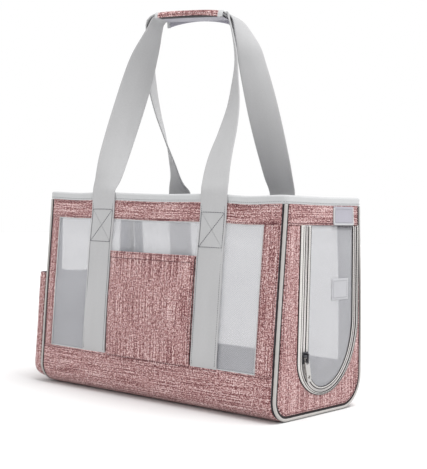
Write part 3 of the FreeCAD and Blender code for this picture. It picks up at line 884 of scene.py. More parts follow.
def make_rim():
    line, out = rim_loop(RIM_MIDDLE, 360)
    n = len(line)
    path = np.concatenate([line, (RIM_Z0 + RIM_Z1) / 2 - rim_heights(line)[:, None]], 1)
    s = np.arange(n) / n * 2 * math.pi
    swell = 1 + 0.03 * np.sin(67 * s + 2 * np.sin(5 * s)) + 0.02 * np.sin(131 * s)
    shaped = np.repeat(rim_section()[None], n, 0)
    shaped[..., 0] *= swell[:, None]
    pile = Pile()
    sweep(pile, path, out, np.broadcast_to([0.0, 0.0, 1.0], path.shape), shaped, closed=True)
    keep(pile.make("rim_roll", RIM_TAPE), "bag_shell", "binding", "rim_binding", "rim_stiffener")
    seam = Pile()
    for inset, facing in ((-0.05 * MM, 1), (6.1 * MM, -1)):
        line, out = rim_loop(inset, 700)
        height = RIM_Z0 + 2.6 * MM - rim_heights(line)
        stitches(seam, np.concatenate([line, height[:, None]], 1), facing * out, pitch=3.4 * MM,
                 radius=0.32 * MM)
    keep(seam.make("rim_stitching", GREY_THREAD), "bag_shell", "binding")


# ---- end walls and door ----
def edge_of(node):
    """The edge (left, right, bottom) of a U-shaped node."""
    low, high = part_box(node)
    return low.y, high.y, low.z


DOOR_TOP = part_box("door_mesh")[1].z
BINDING_OUT = edge_of("door_frame_binding")
OPENING = edge_of("door_frame_teeth")
DOOR_TEETH = edge_of("door_teeth")
DOOR_EDGE = edge_of("door_binding")
MESH_EDGE = edge_of("door_mesh")
FRAME_IN = moved(DOOR_TEETH, -1.2, 1.0, -1.2)
DOOR = Opening(73 * MM, 120 * MM, 4 * MM, lean=4.5 * MM, lean_top=DOOR_TOP)
LEFT_EDGE = edge_of("left_window")
LEFT = Opening(LEFT_EDGE[2] + 5 * MM, LEFT_EDGE[2] + 5 * MM, 0.0)
PANEL_INSET = 2 * PIPE_R + SEAM_GAP
ZIP_TAPE_X, ZIP_TAPE_T = END_OUT - 0.75 * MM, 0.7 * MM
DOOR_NET_EDGE = 0.3 * MM
COIL_X = END_OUT + 0.1 * MM


def end_width(z, inset):
    return half_depth(z) - inset * SEC


def end_point(sign, y, z, out):
    """Point of an end wall, out metres outside its face."""
    y, z = np.broadcast_arrays(np.asarray(y, float), np.asarray(z, float))
    return np.stack([np.full(y.shape, sign * (END_OUT + out)), y, z], -1)


def make_end_top(sign, word):
    z = stops(UPPER_BOTTOM, UNDER_RIM, 5 * MM, EDGE)
    f = stops(-1, 1, 0.05, EDGE / end_width(0.25, PANEL_INSET))
    F, Z = grid(f, z)
    Y = F * end_width(Z, PANEL_INSET)
    half = EDGE * np.outer(border(f, f[3] - f[0]), border(z, EDGE))
    obj = make_cloth(f"{word}_end_top_cloth", end_point(sign, Y, Z, -EDGE), half, Y + 0.4, Z, sign,
                     "woven_fabric", f"{word}_end_panel")


def area(loop):
    after = np.roll(loop, -1, 0)
    return abs(float((loop[:, 0] * after[:, 1] - after[:, 0] * loop[:, 1]).sum())) / 2


def make_end_panel(sign, word, opening, edge):
    outer = outline_halves(PANEL_INSET, UPPER_BOTTOM, opening.low_y, U_POINTS)
    pile = Pile()
    u_band(pile, outer, opening.halves(edge, UPPER_BOTTOM, U_POINTS), sign, END_OUT - EDGE, PANEL_T, 8)
    obj = pile.make(f"{word}_end_cloth", LINEN, LINING)
    keep(obj, "bag_shell", "woven_fabric", f"{word}_end_panel", f"{word}_end_lining")
    line = outline(PANEL_INSET, UPPER_BOTTOM, 300)
    cut = area(line) - area(opening.line(edge, UPPER_BOTTOM, 300))


def make_door_tape(name, body, slot, node, cloth, outer, inner, top, x_mid, thick, steps, crown=0.0):
    """Tape between two U lines of the door's opening."""
    pile = Pile()
    u_band(pile, DOOR.halves(outer, top, U_POINTS), DOOR.halves(inner, top, U_POINTS), 1, x_mid, thick,
           steps, crown, tape=True)
    keep(pile.make(name, cloth), body, slot, node)


def make_coil(name, body, node, outer, inner):
    """One half of the zip: loops that reach from one U line towards another."""
    a, b = DOOR.line(outer, DOOR_TOP, 900), DOOR.line(inner, DOOR_TOP, 900)
    length = lengths(b)
    at = np.arange(1 * MM, length[-1] - 1 * MM, 1.45 * MM)
    start, end = pick(a, length, at), pick(b, length, at)
    middle = (start + end) / 2 + (end - start) * 0.36
    centre = np.concatenate([np.full((len(at), 1), COIL_X), middle], 1)
    along = np.concatenate([np.zeros((len(at), 1)), end - start], 1)
    pile = Pile()
    beads(pile, centre, along, np.broadcast_to([1.0, 0, 0], centre.shape), 0.56 * MM, 3.3 * MM, flat=1.1)
    keep(pile.make(name, COIL), body, "zip_chain", node)


def make_shade_cords(name, body, rows, top):
    """Near-black cords along U lines, painted shade of the seam grooves: rows of (edge, height outside the
    end wall, radius).
    """
    pile = Pile()
    for edge, height, radius in rows:
        line = DOOR.line(edge, top, 260)
        lay_trim(pile, end_point(1, line[:, 0], line[:, 1], height), (1, 0, 0), radius)
    keep(pile.make(name, PAINTED_SHADE_TAPE), body, "binding")


def make_door_frame():
    make_door_tape("door_frame_tape", "bag_shell", "binding", "door_frame_binding", DOOR_TAPE, BINDING_OUT,
                   OPENING, UPPER_BOTTOM, END_OUT + 0.55 * MM, 1.3 * MM, 6, crown=0.5 * MM)
    below_top = UPPER_BOTTOM - 1 * MM
    make_door_tape("frame_zip_tape", "bag_shell", "zip_chain", "door_frame_teeth", ZIP_TAPE_SHADE,
                   moved(OPENING, -3, 3, -2), FRAME_IN, below_top, ZIP_TAPE_X, ZIP_TAPE_T, 4)
    make_coil("frame_zip_coil", "bag_shell", "door_frame_teeth", OPENING, FRAME_IN)
    make_shade_cords("door_frame_shade_cords", "bag_shell",
                    [(between(BINDING_OUT, OPENING, -0.06), 0.5 * MM, 0.7 * MM),
                     (between(BINDING_OUT, OPENING, 0.5), 1.6 * MM, 0.5 * MM),
                     (between(BINDING_OUT, OPENING, 1.06), 1.0 * MM, 0.65 * MM)], below_top)


def make_door_edge():
    make_door_tape("door_zip_tape", "door_flap", "zip_chain", "door_teeth", ZIP_TAPE_SHADE, DOOR_TEETH,
                   moved(DOOR_EDGE, 2.5, -2.5, 2), DOOR_TOP, ZIP_TAPE_X, ZIP_TAPE_T, 4)
    make_coil("door_zip_coil", "door_flap", "door_teeth", DOOR_EDGE, DOOR_TEETH)
    make_door_tape("door_edge_tape", "door_flap", "binding", "door_binding", DOOR_TAPE, DOOR_EDGE, MESH_EDGE,
                   DOOR_TOP, END_OUT + 0.1 * MM, 1.4 * MM, 5, crown=0.35 * MM)
    make_shade_cords("door_edge_shade_cords", "door_flap",
                    [(between(DOOR_EDGE, MESH_EDGE, -0.1), 0.7 * MM, 0.65 * MM),
                     (between(DOOR_EDGE, MESH_EDGE, 1.1), 0.5 * MM, 0.5 * MM)], DOOR_TOP - 1 * MM)


def door_swell(y, z):
    """How far the door's netting stands out."""
    left, right, bottom = MESH_EDGE
    s = np.clip(4 * (y - left) * (right - y) / (right - left) ** 2, 0, 1)
    t = np.clip(4 * (z - bottom) * (DOOR_TOP - z) / (DOOR_TOP - bottom) ** 2, 0, 1)
    return 1.7 * MM * s * t + 0.35 * MM * s * t * ripple(y * 0.7, z * 0.8, 9)


def make_door_net():
    left, right, bottom = MESH_EDGE
    t = np.linspace(0, 1, 44)
    first = bottom + 0.3 * MM
    z = first + (DOOR_TOP - first) * t ** 1.6

    def width_share(straight_z):
        below = np.clip(straight_z - z, 0, None) / (straight_z - bottom)
        return np.sqrt(np.clip(1 - below ** 2, 0, 1))

    hem = 1.5 * MM * t ** 0.2
    lean = DOOR.lean * np.clip(z - DOOR.right_z, 0, None) / (DOOR_TOP - DOOR.right_z)
    y0 = DOOR.low_y - (DOOR.low_y - left) * width_share(DOOR.left_z) - hem
    y1 = DOOR.low_y + (right - DOOR.low_y) * width_share(DOOR.right_z) - lean + hem
    Y = y0[:, None] + (y1 - y0)[:, None] * np.linspace(0, 1, 30)
    Z = np.broadcast_to(z[:, None], Y.shape)
    mid = np.stack([END_OUT - 0.9 * MM + door_swell(Y, Z), Y, Z], -1)
    half = closed_border(np.full(Y.shape, DOOR_NET_EDGE))
    net = make_cloth("door_net", mid, half, Z, Y, -1, "mesh", "door_mesh", materials=(DOOR_NET,),
                     body="door_flap")


def make_patch(name, node, place, body, thick, hemmed, cloth):
    """Small sewn rectangle of hook-and-loop cloth; place gives its middle surface's x."""
    low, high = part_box(node)
    edge = thick / 2
    y, z = stops(low.y, high.y, 4 * MM, edge), stops(low.z, high.z, 4 * MM, edge)
    Y, Z = grid(y, z)
    pile = Pile()
    shell(pile, np.stack([place(Y, Z), Y, Z], -1), thickness(y, z, edge), Y, Z, 1, (0, 0))
    materials = [cloth, GREY_THREAD]
    if hemmed:
        materials.append(RIM_TAPE)
        inset, open_top = 0.8 * MM, high.z - 2 * MM
        around = resample([(low.y + inset, open_top), (low.y + inset, low.z + inset),
                           (high.y - inset, low.z + inset), (high.y - inset, open_top)], 60)
        path = np.stack([place(around[:, 0], around[:, 1]), around[:, 0], around[:, 1]], -1)
        out = np.broadcast_to([1.0, 0.0, 0.0], path.shape)
        binding = pillow_bar(2.6 * MM, 2.1 * MM, 0.9 * MM, 5)
        sweep(pile, path, np.cross(tangents(path), out), out, binding, slot=2)
    inset = 3.2 * MM
    around = resample(rectangle(low.y + inset, low.z + inset, high.y - inset, high.z - inset), 80)
    above = place(around[:, 0], around[:, 1]) + edge + ON_CLOTH
    stitches(pile, np.stack([above, around[:, 0], around[:, 1]], -1), (1, 0, 0), pitch=2.6 * MM,
             length=1.9 * MM, radius=0.28 * MM, slot=1)
    keep(pile.make(name, *materials), body, "hook_and_loop", node)


def make_patches():
    low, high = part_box("hook_tab")

    def on_door(y, z):
        return END_OUT - 0.1 * MM + door_swell(y, z)

    def hanging(y, z):
        """The hook tab stands off a little more towards its lower edge."""
        t = (high.z - z) / (high.z - low.z)
        aside = (y - low.y) / (high.y - low.y)
        return (low.x + high.x) / 2 + 0.9 * MM * t ** 2 * (1 + 0.5 * aside) - 0.15 * MM

    make_patch("door_patch", "door_loop_patch", on_door, "door_flap", 1.0 * MM, False, PALE_FUZZ)
    make_patch("hook_tab_cloth", "hook_tab", hanging, "closing_tab", 1.3 * MM, True, FUZZ)


# ---- left end: window and pouch ----
LEFT_POUCH_T = 1.5 * MM
LEFT_HEM = 8.5 * MM            # height of the pouch's hem
SEAM_FLARE = 3.6 * MM          # how far the left pouch reaches over the piping


def make_left_window():
    y0, y1, z0 = LEFT_EDGE
    y = stops(y0 - NET_HEM, y1 + NET_HEM, 8 * MM, NET_EDGE)
    z = stops(z0 - NET_HEM, UPPER_BOTTOM + NET_HEM, 8 * MM, NET_EDGE)
    Y, Z = grid(y, z)
    s, t = (Y - y0) / (y1 - y0), (Z - z0) / (UPPER_BOTTOM - z0)
    swell = 0.6 * MM * np.sin(math.pi * s) * np.sin(math.pi * t)
    mid = np.stack([-(END_OUT - 1.6 * MM + swell), Y, Z], -1)
    net = make_cloth("left_window_net", mid, thickness(y, z, NET_EDGE), Y, Z, -1, "mesh", "left_window",
                     materials=(NET,))
    trim, cut = Pile(), 4 * MM
    corners = [(y0, UPPER_BOTTOM), (y0, z0 + cut), (y0 + cut, z0), (y1 - cut, z0), (y1, z0 + cut),
               (y1, UPPER_BOTTOM), (y0, UPPER_BOTTOM)]
    line = resample(corners, 160)
    lay_trim(trim, end_point(-1, line[:, 0], line[:, 1], 0.1 * MM), (-1, 0, 0), 0.9 * MM)
    keep(trim.make("left_window_edging", RIM_TAPE), "bag_shell", "binding")


def hem(z, seam_z, more):
    """Thickness of a pouch as a share of its cloth's, with more of it above the hem's seam."""
    return 1 + more * smooth(z, seam_z - 0.5 * MM, seam_z + 0.5 * MM)


def make_left_pouch():
    low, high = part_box("left_pocket")
    out = -END_OUT - low.x - LEFT_POUCH_T / 2
    inset = base = 2 * PIPE_R + 0.3 * MM
    top, columns = high.z, 46
    z = base + (top - base) * np.linspace(0, 1, 34) ** 1.7

    def reach(side):
        r = RADIUS[side] - inset
        below = np.clip(RADIUS[side] - z, 0, None)
        round_part = CORNER[side] + np.sqrt(np.clip(r ** 2 - below ** 2, 0, None))
        return np.where(z < RADIUS[side], round_part, end_width(z, inset))

    y_front, y_back = -reach(FRONT), reach(BACK)
    s = np.sin(np.linspace(-math.pi / 2, math.pi / 2, columns))[None]
    Y = y_front[:, None] + (y_back - y_front)[:, None] * (s + 1) / 2
    Z = np.broadcast_to(z[:, None], Y.shape)
    box_form = np.sqrt(np.clip(1 - np.abs(s) ** 60, 0, 1)) * roundness(Z - base, 12 * MM)
    away = out * box_form * (1 + 0.03 * ripple(s * 0.08, Z, 3))
    flare = SEAM_FLARE * smooth(away, 0.4 * MM, 3 * MM) * s ** 3
    bulge = np.where(s > 0, end_bulge(BACK, Z), -end_bulge(FRONT, Z)) * np.abs(s) ** 3
    cloth = np.stack([-(END_OUT + 0.2 * MM + away), Y + flare + bulge, Z], -1)
    edge = LEFT_POUCH_T / 2
    half = closed_border(edge * hem(Z, top - LEFT_HEM, 0.5) * border(z, edge)[:, None])
    walk = np.cumsum(np.pad(np.linalg.norm(np.diff(cloth, axis=1), axis=-1), ((0, 0), (1, 0))), 1)
    middle = columns // 2 - 1
    obj = make_cloth("left_pouch_cloth", cloth, half, Z, walk - walk[:, middle:middle + 1], 1, "woven_fabric",
                     "left_pocket")
    pile = Pile()
    for drop in (1.6 * MM, 8.6 * MM):
        row = cloth[int(np.argmin(np.abs(z - (top - drop))))]
        line = np.stack([row[:, 0] - LEFT_POUCH_T * 0.8, row[:, 1], np.full(columns, top - drop)], -1)[2:-2]
        stitches(pile, line, (-1, 0, 0))
    keep(pile.make("left_pouch_stitching", ROSE_THREAD_AND_SHADE), "bag_shell", "woven_fabric")


# ---- front pouch ----
POUCH_LOW, POUCH_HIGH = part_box("front_pocket")
POUCH_T = 1.6 * MM
POUCH_HEM = 9.0 * MM


def pouch_point(x, z, lift_off=0.0):
    """Point of the front pouch's middle surface, and lift_off metres outside it."""
    x, z = np.broadcast_arrays(np.asarray(x, float), np.asarray(z, float))
    s = (x - (POUCH_LOW.x + POUCH_HIGH.x) / 2) / ((POUCH_HIGH.x - POUCH_LOW.x) / 2)
    t = (z - POUCH_LOW.z) / (POUCH_HIGH.z - POUCH_LOW.z)
    side = np.sqrt(np.clip(1 - np.abs(np.clip(s, -1, 1)) ** 5, 0, 1))
    out = side * (1.2 * MM + 4.6 * MM * smooth(t, -0.1, 0.55)) + 0.35 * MM * side * ripple(x, z, 6)
    return on_wall(FRONT, x, z, 0.0) + np.stack([0 * x, -(out + lift_off), 0 * x], -1)


def make_front_pouch():
    x0, x1 = POUCH_LOW.x - 4.5 * MM, POUCH_HIGH.x - 0.5 * MM
    z0, z1 = POUCH_LOW.z - 1 * MM, POUCH_HIGH.z
    edge = POUCH_T / 2
    x, z = stops(x0, x1, 5 * MM, edge), stops(z0, z1, 5 * MM, edge)
    X, Z = grid(x, z)
    half = thickness(x, z, edge) * hem(Z, z1 - POUCH_HEM, 0.45)
    obj = make_cloth("front_pouch_cloth", pouch_point(X, Z), half, Z + 0.03, X, 1, "woven_fabric",
                     "front_pocket")
    seam = Pile()
    for drop in (1.9 * MM, POUCH_HEM):
        xs = np.linspace(x0 + 5 * MM, x1 - 5 * MM, 90)
        stitches(seam, pouch_point(xs, z1 - drop, POUCH_T * 0.74), (0, FRONT, 0))
    for x in (x0 + 4.5 * MM, x1 - 4.5 * MM):
        zs = np.linspace(z0 + 3 * MM, z1 - 3 * MM, 70)
        stitches(seam, pouch_point(x, zs, POUCH_T * 0.55), (0, FRONT, 0))
    keep(seam.make("front_pouch_stitching", ROSE_THREAD_AND_SHADE), "bag_shell", "woven_fabric")


def make_pouch_side_shade():
    """Near-black cords as painted shade where the pocket runs under the straps."""
    pile = Pile()
    for x in (POUCH_LOW.x + 0.8 * MM, POUCH_HIGH.x - 1.3 * MM):
        z = np.linspace(POUCH_LOW.z + 1 * MM, POUCH_HIGH.z - 1 * MM, 60)
        lay_trim(pile, pouch_point(x, z, POUCH_T / 2 + 0.2 * MM), (0, FRONT, 0), 0.65 * MM)
    keep(pile.make("front_pouch_side_shade", PAINTED_SHADE_TAPE), "bag_shell", "binding")


# ---- webbing ----
# The free legs' centre lines in millimetres: x, distance from the middle plane, z, turn in degrees.
LEGS = {
    (FRONT, "left"): (
        (-101, 86.3, 283, 0), (-98.7, 81, 300, 12), (-99.8, 70, 330, 28), (-99.5, 57, 365, 38),
        (-96, 46, 400, 46), (-91, 36.5, 435, 58), (-84.5, 28.5, 470, 74), (-76.7, 22.5, 498, 94),
        (-71.5, 20.2, 515, 106), (-67.5, 18.8, 526, 110), (-62, 16.8, 530.3, 110)),
    (FRONT, "right"): (
        (101, 86.3, 283, 0), (97.6, 80, 300, 2), (92.7, 67, 330, 8), (89.8, 50, 365, 20), (82.8, 32, 400, 32),
        (72.8, 17, 435, 42), (64.9, 6, 465, 50), (53.4, -4, 492, 56), (43.5, -12, 512, 62),
        (36.3, -19, 524, 69), (30, -16.8, 530.3, 70)),
    (BACK, "left"): (
        (-112.5, 86.3, 283, 0), (-111.8, 79, 300, 24), (-110.8, 65, 330, 40), (-110.6, 47, 365, 52),
        (-110.7, 30, 400, 58), (-109, 16, 435, 62), (-102.8, 2, 470, 65), (-88.5, -10.5, 498, 68),
        (-79.5, -17, 514, 70), (-72.7, -20.6, 527, 70), (-62, -16.8, 532.7, 70)),
    (BACK, "right"): (
        (83, 86.3, 283, 0), (80.6, 78, 310, 12), (76.4, 68, 345, 24), (71.8, 57, 385, 38),
        (67, 46.5, 425, 54), (62.8, 37, 460, 68), (59.5, 28.5, 490, 82), (52.5, 25, 510, 96),
        (44.5, 22.1, 524, 107), (30, 16.8, 532.7, 110)),
    }
FREE_SPAN = (0.30, 0.36), (0.50, 0.528)           # heights between which the webbing is cupped
STRAP_DEPTH = -1.6 * MM        # middle of the sewn webbing, proud of the wall
CROSS_HALF = 19.4 * MM         # half width of the stitched squares on the straps
CROSS_LOW, CROSS_HIGH = 211 * MM, 256 * MM

PAD_LOW, PAD_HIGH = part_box("grip_pad")
PAD_T = 2.8 * MM
PAD_WIDTH = 46.4 * MM
GRIP_TURN = 20.0               # degrees that the grip has swung about the vertical
GRIP_COS, GRIP_SIN = math.cos(math.radians(GRIP_TURN)), math.sin(math.radians(GRIP_TURN))
GRIP_X = (PAD_LOW.x + PAD_HIGH.x) / 2
GRIP_HALF = (PAD_HIGH.x - PAD_LOW.x - PAD_WIDTH * GRIP_SIN) / GRIP_COS / 2


def with_grip(points):
    """Points given beside an unturned grip about the vertical axis, turned with the grip."""
    x, y, z = np.moveaxis(np.asarray(points, float), -1, 0)
    return np.stack([GRIP_X + GRIP_COS * x - GRIP_SIN * y, GRIP_SIN * x + GRIP_COS * y, z], -1)


def sewn_knots(side, x):
    """Centre line of a sewn strap from the lower band up to the rim."""
    rows = [(LOWER_TOP - 4 * MM, 0.4 * MM), (LOWER_TOP + 1 * MM, -0.9 * MM),
            (LOWER_TOP + 7 * MM, STRAP_DEPTH)]
    rows += [(z, STRAP_DEPTH) for z in np.linspace(LOWER_TOP + 22 * MM, RIM_Z0 - 12 * MM, 8)]
    rows += [(RIM_Z0 - 6 * MM, STRAP_DEPTH - 0.2 * MM), (RIM_Z0 + 3 * MM, -2.1 * MM)]
    return [list(on_wall(side, x, z, depth)) for z, depth in rows]


def webbing_line(side):
    """The whole webbing of one side, from strap to strap: x, y, z and the turn in degrees."""
    knots = []
    for end, x in zip(("left", "right"), STRAP_X[side]):
        part = [point + [0.0] for point in sewn_knots(side, x)]
        part += [[x * MM, side * y * MM, z * MM, float(turn)] for x, y, z, turn in LEGS[side, end]]
        knots.append([p[:3] + [-side * (p[3] if end == "left" else 180 - p[3])] for p in part])
    height = knots[0][-1][2]
    held = [with_grip([d * MM, 0, height]).tolist() + [GRIP_TURN - side * 90.0] for d in (-32, 0, 32)]
    return smooth_line(np.array(knots[0] + held + knots[1][::-1]), 4 * MM)


def make_webbing(side):
    line = webbing_line(side)
    path, turn = line[:, :3], np.radians(line[:, 3])
    along = tangents(path)
    across = np.stack([np.cos(turn), np.sin(turn), 0 * turn], -1)
    across = unit(across - along * (across * along).sum(-1, keepdims=True))
    s = np.arange(len(path)) * 0.004
    cup = (1.1 * MM + 0.5 * MM * np.sin(s * 23)) * hump(path[:, 2], *FREE_SPAN)
    bar = pillow_bar(WEB_W, WEB_T * 0.92, WEB_T * 0.42, 12)
    shaped = np.repeat(bar[None], len(path), 0)
    shaped[..., 1] += cup[:, None] * (2 * bar[None, :, 0] / WEB_W) ** 2
    pile = Pile()
    sweep(pile, path, across, np.cross(along, across), shaped)
    word = WORD[side]
    obj = pile.make(f"{word}_webbing", WEBBING)
    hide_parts(f"{word}_left_strap", f"{word}_right_strap", f"{word}_left_leg", f"{word}_right_leg",
                f"grip_{word}_web")
    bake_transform(obj)


def make_strap_stitching(side):
    """A crossed square at each strap's top, and a seam down both of its edges."""
    pile = Pile()
    surface = STRAP_DEPTH - WEB_T * 0.46 - 0.1 * MM
    for x in STRAP_X[side]:
        left, right = x - CROSS_HALF, x + CROSS_HALF
        lines = [(rectangle(left, CROSS_LOW, right, CROSS_HIGH), 0.42, 0),
                 ([(left, CROSS_LOW), (right, CROSS_HIGH)], 0.46, 0),
                 ([(right, CROSS_LOW), (left, CROSS_HIGH)], 0.3, 1)]
        lines += [([(edge, LOWER_TOP + 3 * MM), (edge, RIM_Z0 - 4 * MM)], 0.28, 0) for edge in (left, right)]
        for corners, radius, slot in lines:
            flat = resample(corners, 80)
            stitches(pile, on_wall(side, flat[:, 0], flat[:, 1], surface), (0, side, 0), pitch=2.9 * MM,
                     length=2.1 * MM, radius=radius * MM, slot=slot)
    keep(pile.make(f"{WORD[side]}_strap_stitching", DARK_THREAD, GREY_THREAD), "bag_shell", "webbing")


# ---- padded grip ----
SADDLE_BEND, SADDLE_R = 19.8 * MM, 4.4 * MM       # where the cover turns down, and its radius there
SADDLE_CROWN = 0.9 * MM
LOW_SEAM = 3.6 * MM            # seam above the flaps' lower edges


def saddle_profile(start, side, low_z):
    """Middle line (y, z) across the saddle from start over the top edge and down one side."""
    top = PAD_HIGH.z - PAD_T / 2
    flat = np.linspace(start, SADDLE_BEND, 14)
    crown = top - SADDLE_CROWN * (flat / SADDLE_BEND) ** 2
    a = np.linspace(0, math.pi / 2, 9)
    arc = np.stack([SADDLE_BEND + SADDLE_R * np.sin(a), top - SADDLE_CROWN - SADDLE_R * (1 - np.cos(a))], -1)
    y, z = arc[-1]
    down = np.linspace(z, low_z, 7)[1:]
    fall = np.stack([y + 0.5 * MM * (z - down) / (z - low_z), down], -1)
    return np.concatenate([np.stack([flat, crown], -1)[:-1], arc, fall]) * [side, 1]


def make_saddle(side, nodes, start, drop, sag_left, sag_right, tuck):
    """One side of the padded cover over the two handles, with its taped ends, made unturned about X = 0.
    It reaches from start, metres beside the grip's middle, to drop below the grip's top; its two ends sag,
    and its first edge is tucked under the other side's."""
    profile = resample(saddle_profile(start, side, PAD_HIGH.z - drop), 40)
    length = lengths(profile)
    edge = PAD_T / 2
    x, v = stops(-GRIP_HALF, GRIP_HALF, 3.5 * MM, edge), stops(0, length[-1], 1.6 * MM, edge)
    line = pick(profile, length, v)
    X, V = grid(x, v)
    share = X / GRIP_HALF
    fallen = smooth(V, length[-1] - 14 * MM, length[-1])
    Y = line[:, 0] + side * fallen * (0.5 * MM * np.sin(X * 75 + side) + 0.5 * MM * share ** 3)
    sag = np.where(share < 0, sag_left, sag_right) * np.abs(share) ** 1.8 - 0.3 * MM * np.sin(X * 60)
    Z = line[:, 1] - 1.4 * MM * np.abs(share) ** 3 - tuck * (1 - smooth(V, 0, 6 * MM)) - fallen * sag
    mid = np.stack([X, Y, Z], -1)
    ends = np.minimum(X - x[0], x[-1] - X)
    dent = 1 - 0.3 * np.exp(-((ends - 5.5 * MM) / (1.2 * MM)) ** 2)
    dent = dent - 0.3 * np.exp(-((length[-1] - V - LOW_SEAM) / (1.0 * MM)) ** 2)
    half = thickness(x, v, edge) * dent * (1 + 0.12 * ripple(X * 1.6, V * 1.6, 4))
    pile = Pile()
    shell(pile, mid, half, X + 0.2, V, side)
    for column, width in ((3, 5.2 * MM), (len(x) - 4, 7.4 * MM)):
        sweep_upright(pile, resample(mid[column], 40), 1, pillow_bar(width, PAD_T + 0.7 * MM, 1.4 * MM, 5),
                      slot=2)
    normal = side * grid_normals(mid)
    row = int(np.argmin(np.abs(v - (length[-1] - LOW_SEAM))))
    surface = mid + normal * (half[..., None] + ON_CLOTH)
    stitches(pile, surface[3:-3, row], normal[3:-3, row], slot=3)
    pile.points = [with_grip(block) for block in pile.points]
    obj = pile.make(f"grip_cover_{WORD[side]}", LINEN, FUZZ, RIM_TAPE, ROSE_THREAD_AND_SHADE)
    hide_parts(*nodes)
    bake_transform(obj)


def make_under_grip():
    """Padding under the two webbings inside the grip: a near-black strip at the front, painted shade under
    the front flap, and a pale one behind it.
    """
    edge = 0.6 * MM
    front, joint, back = -20 * MM, -8 * MM, 20 * MM
    x = stops(-GRIP_HALF + 3 * MM, GRIP_HALF - 3 * MM, 8 * MM, edge)
    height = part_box("grip_front_web")[0].z - 1.0 * MM
    pile = Pile()
    for slot, y0, y1 in ((0, front, joint), (1, joint, back)):
        y = stops(y0, y1, 6 * MM, edge)
        X, Y = grid(x, y)
        mid = with_grip(np.stack([X, Y, height - 0.6 * MM * (X / GRIP_HALF) ** 2], -1))
        shell(pile, mid, thickness(x, y, edge), X, Y, -1, (slot, slot))
    # The first material here is the painted shade strip.
    obj = pile.make("grip_under_padding", PAINTED_SHADE_TAPE, FUZZ)
    keep(obj, "grip", "hook_and_loop")


# ---- mat ----
MAT_LOW, MAT_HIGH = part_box("mat")
MAT_SHRINK = 3.5 * MM          # the uninflated form stays this far inside the mat's sides
MAT_CELLS = (6, 2)             # quilted cells along X and Y


def applied(obj):
    """Replaces the object's mesh by its evaluated one."""
    bpy.context.view_layer.update()
    graph = bpy.context.evaluated_depsgraph_get()
    mesh = bpy.data.meshes.new_from_object(obj.evaluated_get(graph))
    obj.modifiers.clear()
    obj.data = mesh


def coordinates(mesh):
    co = np.empty(len(mesh.vertices) * 3)
    mesh.vertices.foreach_get("co", co)
    return co.reshape(-1, 3)


def remeshed(obj, voxel):
    remesh = obj.modifiers.new("remesh", "REMESH")
    remesh.mode = "VOXEL"
    remesh.voxel_size = voxel
    applied(obj)


def inflate(obj, pressure, cap, frames):
    """Lets cloth under pressure swell a closed form, no point moving further than cap."""
    rest = coordinates(obj.data)
    cloth = obj.modifiers.new("cloth", "CLOTH")
    cloth.settings.use_pressure = True
    cloth.settings.uniform_pressure_force = pressure
    cloth.settings.effector_weights.gravity = 0
    cloth.settings.tension_stiffness = 12
    cloth.settings.compression_stiffness = 12
    cloth.settings.bending_stiffness = 0.3
    for frame_number in range(1, frames + 1):
        scene.frame_set(frame_number)
    graph = bpy.context.evaluated_depsgraph_get()
    swollen = coordinates(obj.evaluated_get(graph).data)
    obj.modifiers.clear()
    scene.frame_set(1)
    move = swollen - rest
    size = np.linalg.norm(move, axis=1, keepdims=True)
    move *= np.minimum(1, cap / np.maximum(size, 1e-9))
    obj.data.vertices.foreach_set("co", (rest + move).ravel())
    obj.data.update()


def mat_form():
    """The mat's uninflated form: a box with round corners in plan."""
    work = bmesh.new()
    bmesh.ops.create_cube(work, size=1.0)
    size, middle = MAT_HIGH - MAT_LOW, (MAT_LOW + MAT_HIGH) / 2
    for vertex in work.verts:
        vertex.co = Vector((middle.x + vertex.co.x * (size.x - 2 * MAT_SHRINK),
                            middle.y + vertex.co.y * (size.y - 2 * MAT_SHRINK),
                            MAT_LOW.z + 1.8 * MM + (vertex.co.z + 0.5) * (size.z - 4.0 * MM)))
    upright = [edge for edge in work.edges if abs(edge.verts[0].co.z - edge.verts[1].co.z) > 1 * MM]
    bmesh.ops.bevel(work, geom=upright, offset=11 * MM, segments=6, affect="EDGES", profile=0.5)
    mesh = bpy.data.meshes.new("mat_cushion")
    work.to_mesh(mesh)
    work.free()
    return link("mat_cushion", mesh)


def quilted(co):
    """The mat's points, pressed in along the quilting lines of its upper face."""
    inside, seams = True, 0
    for axis, count in enumerate(MAT_CELLS):
        low, high = MAT_LOW[axis], MAT_HIGH[axis]
        cell = (high - low) / count
        place = (co[:, axis] - low) / cell
        off_seam = np.abs(place - np.round(place)) * cell
        seams = np.maximum(seams, np.exp(-(off_seam / (2.2 * MM)) ** 2))
        inside = inside & (np.minimum(co[:, axis] - low, high - co[:, axis]) > 8 * MM)
    upper = smooth(co[:, 2], MAT_LOW.z + 4 * MM, MAT_HIGH.z - 3 * MM)
    co[:, 2] -= 3.6 * MM * seams * inside * upper
    lowest = (MAT_LOW.x, MAT_LOW.y, MAT_LOW.z + 0.1 * MM)
    return np.clip(co, lowest, (MAT_HIGH.x, MAT_HIGH.y, MAT_HIGH.z + 5 * MM))


